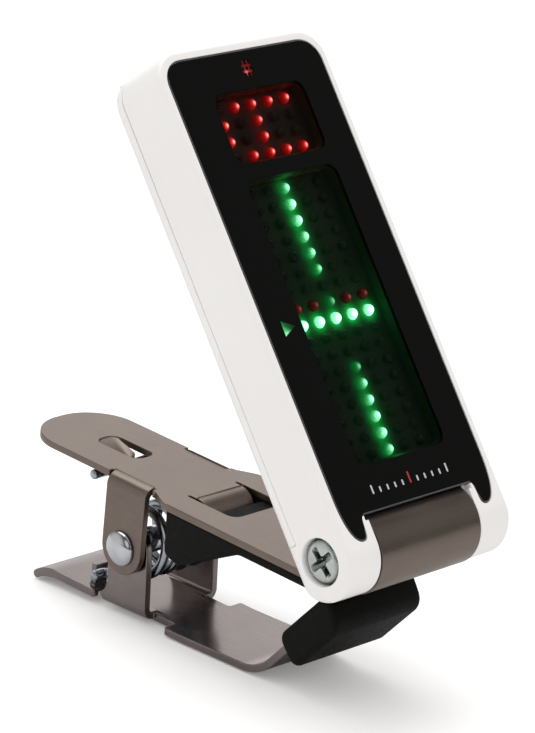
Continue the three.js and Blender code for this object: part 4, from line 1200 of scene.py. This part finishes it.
PAD_LOW, PAD_HIGH = local_box("upper_pad", JAW)
UPPER_SHEET = 0.85
UPPER_BOTTOM = PAD_HIGH.z + 0.05
UPPER_TOP = UPPER_BOTTOM + UPPER_SHEET
UPPER_REAR = local_box("upper_jaw", JAW)[1].y
BARREL_HALF = 7.66
BARREL_BORE = 3.7
WIDE_HALF = PAD_HIGH.x + 0.25
THUMB_HALF = 6.2
EAR_HALF = 3.15
UPPER_EAR_OUTER = 6.85
EAR_BEND = 1.35
PIN_HOLE = 1.58
SHEET_EDGE = 0.13
JAW_PIVOT = JAW.inverted() @ PIVOT
WINDOW_HALF = 3.9
WINDOW_FRONT = 21.0
WINDOW_REAR = 27.3
SLOT_HALF = 1.55
SLOT_FRONT = 39.4
SLOT_REAR = 46.4


def sheet_strip(path, thickness):
    """Outline of a sheet of even thickness that follows a path of (a, b) points."""
    left, right = [], []
    for i, here in enumerate(path):
        before = path[max(i - 1, 0)]
        after = path[min(i + 1, len(path) - 1)]
        along = (Vector(after) - Vector(before)).normalized()
        across = Vector((-along.y, along.x)) * (thickness / 2)
        left.append(tuple(Vector(here) + across))
        right.append(tuple(Vector(here) - across))
    return left + right[::-1]


def inset_corners(corners, depth):
    """(x, y, radius) corners of the outline that lies depth inside this one."""
    area = sum(a[0] * b[1] - b[0] * a[1] for a, b in zip(corners, corners[1:] + corners[:1]))
    side = 1 if area > 0 else -1
    moved = []
    for i, (x, y, radius) in enumerate(corners):
        here = Vector((x, y))
        before = (here - Vector(corners[i - 1][:2])).normalized()
        after = (Vector(corners[(i + 1) % len(corners)][:2]) - here).normalized()
        inward_before = Vector((-before.y, before.x)) * side
        inward_after = Vector((-after.y, after.x)) * side
        halfway = (inward_before + inward_after).normalized()
        reach = depth / halfway.dot(inward_before)
        convex = (before.x * after.y - before.y * after.x) * side > 0
        new_radius = max(0.02, radius - depth) if convex else radius + depth
        moved.append((*(here + halfway * reach), new_radius))
    return moved


def pillow(corners, low, high, along, radius, levels=6, steps=8):
    """Prism of a cornered outline whose two ends are rounded by a full quarter arc."""
    place = PLACES[along]
    rings = []
    for end, sign in ((low, 1), (high, -1)):
        stack = []
        for i in range(levels + 1):
            angle = math.pi / 2 * i / levels
            depth = radius * (1 - math.cos(angle))
            inset = radius * (1 - math.sin(angle))
            outline = rounded(inset_corners(corners, inset), steps)
            stack.append([place(a, b, end + sign * depth) for a, b in outline])
        rings += stack if sign == 1 else stack[::-1]
    return loft(rings)


def ear_blank(side, outer, thickness, face, end, front, rear):
    """Sheet that leaves a jaw's face, turns through a right angle and runs down (or up) its side."""
    rise = 1 if end > face else -1
    middle = EAR_BEND - thickness / 2
    centre = (side * (outer - EAR_BEND), face + rise * EAR_BEND)
    path = [(centre[0] - side * 0.7, face + rise * thickness / 2)]
    for i in range(11):
        angle = math.pi / 2 * i / 10
        path.append((centre[0] + side * middle * math.sin(angle),
                     centre[1] - rise * middle * math.cos(angle)))
    path.append((side * (outer - thickness / 2), end))
    return prism(sheet_strip(path, thickness), front, rear, "y")


def mirrored_plan(half, steps):
    """Outline whose right half is given as (x, y, radius) corners."""
    return rounded(half + [(-x, y, radius) for x, y, radius in reversed(half)], steps)


def pin_hole(at):
    return turned([(-FAR, PIN_HOLE), (FAR, PIN_HOLE)], "x", (at.y, at.z), 48)


def upper_plan():
    neck = JAW_PIVOT.y - EAR_HALF - 0.9
    return mirrored_plan([
        (WIDE_HALF, 1.2, 0.5), (WIDE_HALF, neck - 2.6, 2.5), (THUMB_HALF, neck, 1.2),
        (THUMB_HALF, UPPER_REAR - 3.6, 5.5), (3.0, UPPER_REAR, 5.5),
    ], 8)


def upper_ear(side):
    front = JAW_PIVOT.y - EAR_HALF
    rear = JAW_PIVOT.y + EAR_HALF
    end = JAW_PIVOT.z - EAR_HALF - 1
    ear = ear_blank(side, UPPER_EAR_OUTER, UPPER_SHEET, UPPER_TOP, end, front, rear)
    outline = [(rear, 0), (front, 0)] + arc(JAW_PIVOT.y, JAW_PIVOT.z, EAR_HALF, 180, 360, 32)
    return ear.keep(prism(outline, -FAR, FAR, "x"))


def window_roll():
    """Tab rolled down from the rear edge of the window."""
    radius = 2.45
    middle = radius - UPPER_SHEET / 2
    centre = (WINDOW_REAR, UPPER_TOP - radius)
    path = [(WINDOW_REAR + 1.4, UPPER_TOP - UPPER_SHEET / 2)]
    path += arc(*centre, middle, 90, 176, 18)
    return prism(sheet_strip(path, UPPER_SHEET), 0.45 - WINDOW_HALF, WINDOW_HALF - 0.45, "x")


def window_cut():
    """Window with a small relief slot at each end of the roll."""
    half, front, rear = WINDOW_HALF, WINDOW_FRONT, WINDOW_REAR
    notch = 0.42
    slot_end = rear + 1.15
    corners = [
        (-half, front, 1.2), (half, front, 1.2), (half, slot_end, 0.2), (half - notch, slot_end, 0.2),
        (half - notch, rear, 0.0), (notch - half, rear, 0.0), (notch - half, slot_end, 0.2),
        (-half, slot_end, 0.2),
    ]
    return prism(rounded(corners, 6), -8, 0)


def slot_dish():
    """Tongue pressed down from the rear of the slot, hollowed like a spoon."""
    rows, columns = 12, 12
    bm = bmesh.new()
    length = SLOT_REAR - SLOT_FRONT - 3.3
    half = SLOT_HALF - 0.03

    def sheet(offset):
        grid = []
        for j in range(rows + 1):
            t = j / rows
            row = []
            for i in range(columns + 1):
                s = 2 * i / columns - 1
                drop = 1.55 * t ** 1.3 * (1 - 0.35 * s ** 4)
                y = SLOT_REAR + 0.45 - (length + 0.45) * t
                row.append(bm.verts.new((half * s, y, UPPER_TOP - drop - offset)))
            grid.append(row)
        return grid

    top, bottom = sheet(0.02), sheet(UPPER_SHEET - 0.2)
    for j in range(rows):
        for i in range(columns):
            bm.faces.new((top[j][i], top[j][i + 1], top[j + 1][i + 1], top[j + 1][i]))
            bm.faces.new((bottom[j][i], bottom[j + 1][i], bottom[j + 1][i + 1], bottom[j][i + 1]))

    def rim(grid):
        right, left = [row[-1] for row in grid[1:]], [row[0] for row in grid[-2:0:-1]]
        return grid[0] + right + grid[-1][-2::-1] + left

    high, low = rim(top), rim(bottom)
    for i in range(len(high)):
        j = (i + 1) % len(high)
        bm.faces.new((high[i], low[i], low[j], high[j]))
    return Solid(bm)


def upper_jaw():
    barrel = turned([(-BARREL_HALF, BARREL_RADIUS), (BARREL_HALF, BARREL_RADIUS)], steps=96)
    lift = block(-BARREL_HALF, BARREL_HALF, 0.6, 2.4, UPPER_TOP - 0.2, -3.85)
    plate = prism(upper_plan(), UPPER_BOTTOM, UPPER_TOP)
    slot = box_outline(-SLOT_HALF, SLOT_HALF, SLOT_FRONT, SLOT_REAR, 1.15, 8)
    plate.cut(window_cut(), prism(slot, -8, 0))
    for side in (-1, 1):
        x0, x1 = sorted((side * (UPPER_EAR_OUTER - EAR_BEND), side * 9))
        plate.cut(block(x0, x1, JAW_PIVOT.y - EAR_HALF - 0.38, JAW_PIVOT.y + EAR_HALF + 0.38, -8, 0))
        plate.join(upper_ear(side))
    plate.join(barrel, lift, window_roll(), slot_dish())
    plate.cut(turned([(-FAR, BARREL_BORE), (FAR, BARREL_BORE)], steps=96), pin_hole(JAW_PIVOT))
    plate.soften(SHEET_EDGE, 3, 48, lambda p: p.y > 2.5 or abs(abs(p.x) - BARREL_HALF) < 0.01)

    def on_barrel(centre, _):
        beyond_ear = abs(centre.x) > UPPER_EAR_OUTER - EAR_BEND * 0.4
        return math.hypot(centre.y, centre.z) < BARREL_RADIUS + 0.03 and not beyond_ear

    piece = place(plate, "upper_jaw_sheet", JAW, SHEET, "upper_clip", ["upper_jaw"], "pewter_steel")
    second_material(piece, JAW, SHEET_ACROSS, on_barrel)


def upper_pad():
    low, high = PAD_LOW, PAD_HIGH
    face = UPPER_BOTTOM - 1.2
    corners = [
        (low.y, high.z, 0.12), (low.y, face, 0.75), (16.8, face, 2.2), (25.8, -11.4, 1.3),
        (28.1, -10.7, 0.9), (28.3, high.z, 0.12),
    ]
    pad = pillow(corners, low.x, high.x, "x", 0.32)
    pad.cut(block(-WINDOW_HALF, WINDOW_HALF, WINDOW_REAR - 3, WINDOW_REAR + 0.6, -7.6, 0))
    place(pad, "upper_pad_rubber", JAW, RUBBER, "upper_clip", ["upper_pad"], "black_rubber",
          weighted=False)


# ---- lower clip -----------------------------------------------------------------------------------

BOOT_MIN, BOOT_MAX = local_box("lower_boot", BENCH)
HINGE_MM = HINGE / MM
PIVOT_MM = PIVOT / MM
LOWER_SHEET = 0.9
LOWER_WIDE_HALF = local_box("lower_jaw", BENCH)[1].x
LOWER_EAR_OUTER = 5.75
BOOT_ANGLE = math.radians(46)
ELBOW_Y = HINGE_MM.y + 16.9
ELBOW_RADIUS = 6.5
TONGUE_LENGTH = 11.6
TONGUE_HALF = 5.6
BOOT_START = 3.82
BOOT_END = 13.32
FLAT_REAR = HINGE_MM.y + 27
THUMB_RISE = math.radians(2.5)
EAR_FRONT = PIVOT_MM.y - EAR_HALF
EAR_REAR = PIVOT_MM.y + EAR_HALF
THUMB_CREST = HINGE_MM.y + 48.6
THUMB_TIP = HINGE_MM.y + 51.8


def quadratic(start, control, end, steps=10):
    one = tuple(s + (c - s) * 2 / 3 for s, c in zip(start, control))
    two = tuple(e + (c - e) * 2 / 3 for e, c in zip(end, control))
    return bezier(start, one, two, end, steps)


def rise_at(y):
    return (y - FLAT_REAR) * math.tan(THUMB_RISE)


def tongue_point(along, outwards):
    elbow_y = ELBOW_Y - math.sin(BOOT_ANGLE) * ELBOW_RADIUS
    elbow_z = ELBOW_RADIUS - math.cos(BOOT_ANGLE) * ELBOW_RADIUS
    return (elbow_y - math.cos(BOOT_ANGLE) * along + math.sin(BOOT_ANGLE) * outwards,
            elbow_z + math.sin(BOOT_ANGLE) * along + math.cos(BOOT_ANGLE) * outwards)


def tongue_box(near, far, low, high):
    """Box in the tongue's own directions, as an outline in (y, z)."""
    return [tongue_point(*corner) for corner in ((near, low), (far, low), (far, high), (near, high))]


def lower_profile():
    """Side outline of the lower sheet: flat back, lipped thumb end, then round to the boot."""
    crest, tip = THUMB_CREST, THUMB_TIP
    under = (crest - 1.4, rise_at(crest - 1.4))
    lip = (tip - 0.7, 0)
    nose = (tip, 0.65)
    over = (crest - 1.6, rise_at(crest) + LOWER_SHEET)
    points = [(FLAT_REAR, 0), under]
    points += quadratic(under, (crest + 0.6, rise_at(crest) + 0.1), lip, 14)
    points += quadratic(lip, (tip + 0.05, 0.05), nose, 6)
    points += quadratic(nose, (crest + 1.4, rise_at(crest) + LOWER_SHEET + 0.3), over, 14)
    points += [(FLAT_REAR, LOWER_SHEET)]
    sweep = math.degrees(BOOT_ANGLE)
    points += arc(ELBOW_Y, ELBOW_RADIUS, ELBOW_RADIUS - LOWER_SHEET, -90, -90 - sweep, 18)
    points += [tongue_point(TONGUE_LENGTH, LOWER_SHEET), tongue_point(TONGUE_LENGTH, 0)]
    points += arc(ELBOW_Y, ELBOW_RADIUS, ELBOW_RADIUS, -90 - sweep, -90, 18)
    return points


def lower_plan():
    step_y = HINGE_MM.y + 29.3
    inset = LOWER_EAR_OUTER - 1.5
    return mirrored_plan([
        (LOWER_WIDE_HALF, -40, 0), (LOWER_WIDE_HALF, step_y, 0.35),
        (inset, step_y, 0.3), (inset, EAR_REAR + 2.2, 0.3),
        (LOWER_EAR_OUTER, EAR_REAR + 2.2, 0.4), (LOWER_EAR_OUTER, HINGE_MM.y + 52.5, 1.2),
    ], 6)


def lower_ear(side):
    floor = rise_at(PIVOT_MM.y)
    rear = EAR_REAR + 1.1
    end = PIVOT_MM.z + EAR_HALF + 1
    ear = ear_blank(side, LOWER_EAR_OUTER, LOWER_SHEET, floor, end, EAR_FRONT, rear)
    skirt = floor + EAR_BEND
    outline = [(EAR_FRONT, -2), (rear, -2), (rear, skirt)]
    outline += quadratic((rear, skirt), (EAR_REAR, skirt + 0.6), (EAR_REAR, skirt + 2.2), 8)
    outline += arc(PIVOT_MM.y, PIVOT_MM.z, EAR_HALF, 0, 180, 32)
    return ear.keep(prism(outline, -FAR, FAR, "x"))


def lower_jaw():
    sheet = prism(lower_profile(), -LOWER_WIDE_HALF, LOWER_WIDE_HALF, "x")
    sheet.keep(prism(lower_plan(), -2, FAR))
    notch = tongue_box(BOOT_START - 0.3, FAR, -2, 3)
    sheet.cut(prism(notch, TONGUE_HALF, FAR, "x"), prism(notch, -FAR, -TONGUE_HALF, "x"))
    for side in (-1, 1):
        sheet.join(lower_ear(side))
    hole = box_outline(-4.9, -3, EAR_REAR + 0.4, HINGE_MM.y + 42.2, 0.4)
    root = HINGE_MM.y + 42.6
    foot = rise_at(root) + LOWER_SHEET / 2
    start = (root + 0.9, foot + 0.03)
    path = [start] + quadratic(start, (root - 0.05, foot), (root - 0.2, foot + 1.0), 8)
    path += [(root - 0.3, foot + 3.1)]
    tab = prism(sheet_strip(path, LOWER_SHEET - 0.1), -4.9, -3, "x")
    sheet.cut(prism(hole, -1, 4)).join(tab)
    sheet.cut(pin_hole(PIVOT_MM))
    sheet.soften(SHEET_EDGE, 3, 48)
    # The lower sheet takes the lighter steel copy, which carries a painted highlight.
    place(sheet, "lower_jaw_sheet", BENCH, SHEET_LOWER_LIT, "lower_clip", ["lower_jaw"], "pewter_steel")


def lower_boot():
    start, end = BOOT_START, BOOT_END
    rear_face = LOWER_SHEET + 1.12
    front_face = -2.18
    corners = [(*tongue_point(along, outwards), radius) for along, outwards, radius in (
        (start, rear_face, 1.3), (end - 0.6, rear_face, 0.9), (end, rear_face - 1.3, 0.6),
        (end - 0.8, front_face, 1.9), (start - 0.5, front_face, 1.2),
    )]
    boot = pillow(corners, BOOT_MIN.x, BOOT_MAX.x, "x", 0.62, levels=7, steps=10)
    gap = 0.15
    mouth = tongue_box(-2, TONGUE_LENGTH + gap, -gap, LOWER_SHEET + gap)
    boot.cut(prism(mouth, -TONGUE_HALF - gap, TONGUE_HALF + gap, "x"))
    place(boot, "lower_boot_rubber", BENCH, RUBBER, "lower_clip", ["lower_boot"], "black_rubber",
          weighted=False)


def pivot_pin():
    """Rivet with a high dome on the left and a flat peened head on the right."""
    face = UPPER_EAR_OUTER + 0.06
    rim = 2.08
    rise = 0.95                # height of the left dome
    dome = []
    for i in range(14):
        angle = math.pi / 2 * i / 14
        dome.append((-face - rise * math.cos(angle) - 0.03, rim * math.sin(angle)))
    dome += [(-face - 0.06, rim), (-face, rim - 0.05), (-face, 1.5)]
    peened = [(face, 1.5), (face, rim * 0.9), (face + 0.12, rim * 0.97), (face + 0.34, rim * 0.9)]
    peened += [(face + 0.52, rim * 0.72), (face + 0.6, rim * 0.4), (face + 0.6, 0)]
    pin = turned(dome + peened, "x", (PIVOT_MM.y, PIVOT_MM.z))
    place(pin, "pivot_pin_rivet", BENCH, CHROME, "lower_clip", ["pivot_pin"], "chrome_plate",
          weighted=False)


# ---- spring ---------------------------------------------------------------------------------------

WIRE_RADIUS = 0.58
COIL_RADIUS = 3.75
COIL_TURNS = 4
COIL_HALF = 3.9
LOWER_BAR = (5.1, -5.1)
UPPER_BAR = (5.8, 6.95)


def around_pivot(x, y, z):
    return Vector((x, PIVOT_MM.y + y, PIVOT_MM.z + z))


def spring_path():
    """Wire centre line, and where its coil begins and ends along it."""
    points = [
        around_pivot(-5.95, *LOWER_BAR),
        around_pivot(-4.8, *LOWER_BAR),
        around_pivot(-4.1, LOWER_BAR[0] - 0.45, LOWER_BAR[1]),
        around_pivot(-COIL_HALF, 2.6, -4.3),
    ]
    start = -math.pi / 2 - 0.25
    sweep = math.pi * 2 * COIL_TURNS - math.pi - 0.5
    steps = 24 * COIL_TURNS
    for i in range(steps + 1):
        t = i / steps
        angle = start - t * sweep
        points.append(around_pivot(
            -COIL_HALF + 2 * COIL_HALF * t, COIL_RADIUS * math.cos(angle), COIL_RADIUS * math.sin(angle),
        ))
    points += [
        around_pivot(COIL_HALF, 2.6, 4.9),
        around_pivot(4, UPPER_BAR[0] - 0.7, UPPER_BAR[1] - 0.1),
        around_pivot(3.4, *UPPER_BAR),
        around_pivot(0, *UPPER_BAR),
        around_pivot(-5.95, *UPPER_BAR),
    ]
    path = smooth_path(points, 0.28)
    first = next(i for i, p in enumerate(path) if (p - points[4]).length < 0.2)
    last = next(i for i in reversed(range(len(path))) if (path[i] - points[-6]).length < 0.2)
    return path, first, last


def torsion_spring():
    """Coil that twists between the two jaws, with a leg on each."""
    path, first, last = spring_path()
    overlap = 2
    parts = {
        "spring_lower_leg": path[:first + overlap],
        "spring_coil": path[first:last + 1],
        "spring_upper_leg": path[last - overlap + 1:],
    }
    for name, stretch in parts.items():
        piece = place(tube(stretch, WIRE_RADIUS), name, BENCH, SPRING, None, ["torsion_spring"],
                      "spring_steel", weighted=False)
        if name == "spring_lower_leg":
            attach(piece, "lower_clip")
        elif name == "spring_upper_leg":
            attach(piece, "upper_clip")
        else:
            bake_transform(piece)


# ---- parts kept from the CAD model ----------------------------------------------------------------

def keep(node, material, width=0.08, steps=2):
    """A CAD part shown as it is, with its edges eased and a material of its own."""
    piece = frame["nodes"][node]
    piece.data.materials.clear()
    piece.data.materials.append(material)
    weld = piece.modifiers.new("welded", "WELD")
    weld.merge_threshold = 0.5e-6
    bevel = piece.modifiers.new("eased_edges", "BEVEL")
    bevel.width = width * MM
    bevel.segments = steps
    bevel.limit_method = "ANGLE"
    bevel.angle_limit = math.radians(40)
    bevel.harden_normals = True


upper_jaw()
upper_pad()
lower_jaw()
lower_boot()
pivot_pin()
torsion_spring()
for node, material in (
    ("hinge_bush_left", ACETAL), ("hinge_bush_right", ACETAL), ("main_board", BOARD),
    ("microcontroller", BLACK), ("power_switch", BLACK), ("piezo_sensor", BRASS),
    ("contact_positive", NICKEL), ("contact_negative", NICKEL),
):
    keep(node, material)
keep("quartz_crystal", NICKEL, 0.2, 3)
keep("coin_cell", NICKEL, 0.2, 3)


# ---- stage ----------------------------------------------------------------------------------------

CAMERA_AT = HINGE + Vector((-0.276192, -0.246016, 0.139385))
CAMERA_AZIMUTH = math.radians(-45.942)
CAMERA_ELEVATION = math.radians(18.148)
CAMERA_ROLL = math.radians(3.192)
CAMERA_LENS = 181.9
SENSOR = 36.0
BACKDROP = 1.02                # what the camera sees behind the object
FLOOR_LIFT = 0.17              # light that only the camera sees on the floor
ROOM_FILL = 0.70               # light on matt parts from all round
ROOM_TOP = 0.32                # and more of it from above
ROOM_DIM = 0.10                # what polished parts mirror, outside the patches
# Direction, inner and outer angle, and level of each patch of light that polished parts mirror.
ROOM_PATCHES = (
    ((0.66, 0.70, 0.20), 12, 48, 0.95),
    ((-0.70, 0.66, 0.05), 10, 55, 0.55),
    ((0.1, 0.3, 1.0), 8, 40, 0.7),
    ((-0.80, -0.45, 0.45), 6, 26, 0.6),
    ((0.70, -0.50, 0.50), 8, 32, 0.26),
)


def staged(name, data):
    thing = bpy.data.objects.new(name, data)
    bpy.context.scene.collection.objects.link(thing)
    return thing


def camera():
    data = bpy.data.cameras.new("camera")
    data.sensor_fit = "VERTICAL"
    data.sensor_height = SENSOR
    data.lens = CAMERA_LENS
    data.clip_start = 0.01
    data.clip_end = 10
    view = staged("camera", data)
    across = Matrix.Rotation(CAMERA_AZIMUTH, 4, "Z")
    tilt = Matrix.Rotation(math.pi / 2 - CAMERA_ELEVATION, 4, "X")
    roll = Matrix.Rotation(CAMERA_ROLL, 4, "Z")
    view.matrix_world = Matrix.Translation(CAMERA_AT) @ across @ tilt @ roll
    bpy.context.scene.camera = view


def top_light():
    data = bpy.data.lights.new("top_light", "AREA")
    data.size = 0.7
    data.energy = 2.4
    above = Vector((0.1, 0.25, 0.7))
    lamp = staged("top_light", data)
    lamp.location = (cad_low + cad_high) / 2 + above
    lamp.rotation_euler = above.to_track_quat("Z", "Y").to_euler()


def floor():
    """Plain pale sheet under the clip; polished parts see it a little darker than the camera does."""
    mesh = bpy.data.meshes.new("floor")
    half = 3.0
    corners = [(-half, -half, 0), (half, -half, 0), (half, half, 0), (-half, half, 0)]
    mesh.from_pydata(corners, [], [(0, 1, 2, 3)])
    sheet = staged("floor", mesh)
    sheet.location.z = cad_low.z - 0.0002
    shader = Shader("floor_white", (0.92, 0.915, 0.91), 0.6, specular=0.1)
    path = shader.node("LightPath")
    paper = shader.mix(shader.noise(60, 2), (0.935, 0.93, 0.928), (0.95, 0.946, 0.944))
    shader.set("Base Color", shader.mix(path.outputs["Is Glossy Ray"], paper, (0.60, 0.60, 0.60)))
    shader.set("Emission Color", (1, 0.995, 0.99, 1))
    shader.set("Emission Strength", shader.math("MULTIPLY", path.outputs["Is Camera Ray"], FLOOR_LIFT))
    mesh.materials.append(shader.material)


def surroundings():
    """White studio: even soft light, a bright backdrop, and a dim room for polished parts to mirror."""
    world = bpy.data.worlds.new("studio")
    bpy.context.scene.world = world
    room = Nodes(world)
    room.tree.nodes.clear()
    looking = room.node("TexCoord").outputs["Generated"]

    def patch(direction, inner, outer, level):
        """Smooth round patch of light about a direction, with its angles in degrees."""
        towards = Vector(direction).normalized()
        dot = room.node("VectorMath", {"operation": "DOT_PRODUCT"}, i0=looking, i1=towards)
        first, last = math.cos(math.radians(outer)), math.cos(math.radians(inner))
        share = room.node("MapRange", {"interpolation_type": "SMOOTHSTEP"}, i0=dot.outputs["Value"],
                          i1=first, i2=last, i3=0.0, i4=level)
        return share.outputs["Result"]

    mirrored = ROOM_DIM
    for direction, inner, outer, level in ROOM_PATCHES:
        mirrored = room.math("ADD", mirrored, patch(direction, inner, outer, level))
    diffuse = room.math("ADD", ROOM_FILL, patch((0, 0, 1), 20, 100, ROOM_TOP))
    path = room.node("LightPath")
    level = room.node("Mix", {"data_type": "FLOAT"}, i0=path.outputs["Is Glossy Ray"],
                      i2=diffuse, i3=mirrored)
    seen = room.node("Mix", {"data_type": "FLOAT"}, i0=path.outputs["Is Camera Ray"],
                     i2=level.outputs[0], i3=BACKDROP)
    background = room.node("Background", Color=(1, 0.995, 0.99, 1), Strength=seen.outputs[0])
    output = room.node("OutputWorld")
    room.feed(output.inputs["Surface"], background.outputs["Background"])
    bpy.context.scene.view_settings.view_transform = "Standard"


camera()
top_light()
floor()
surroundings()
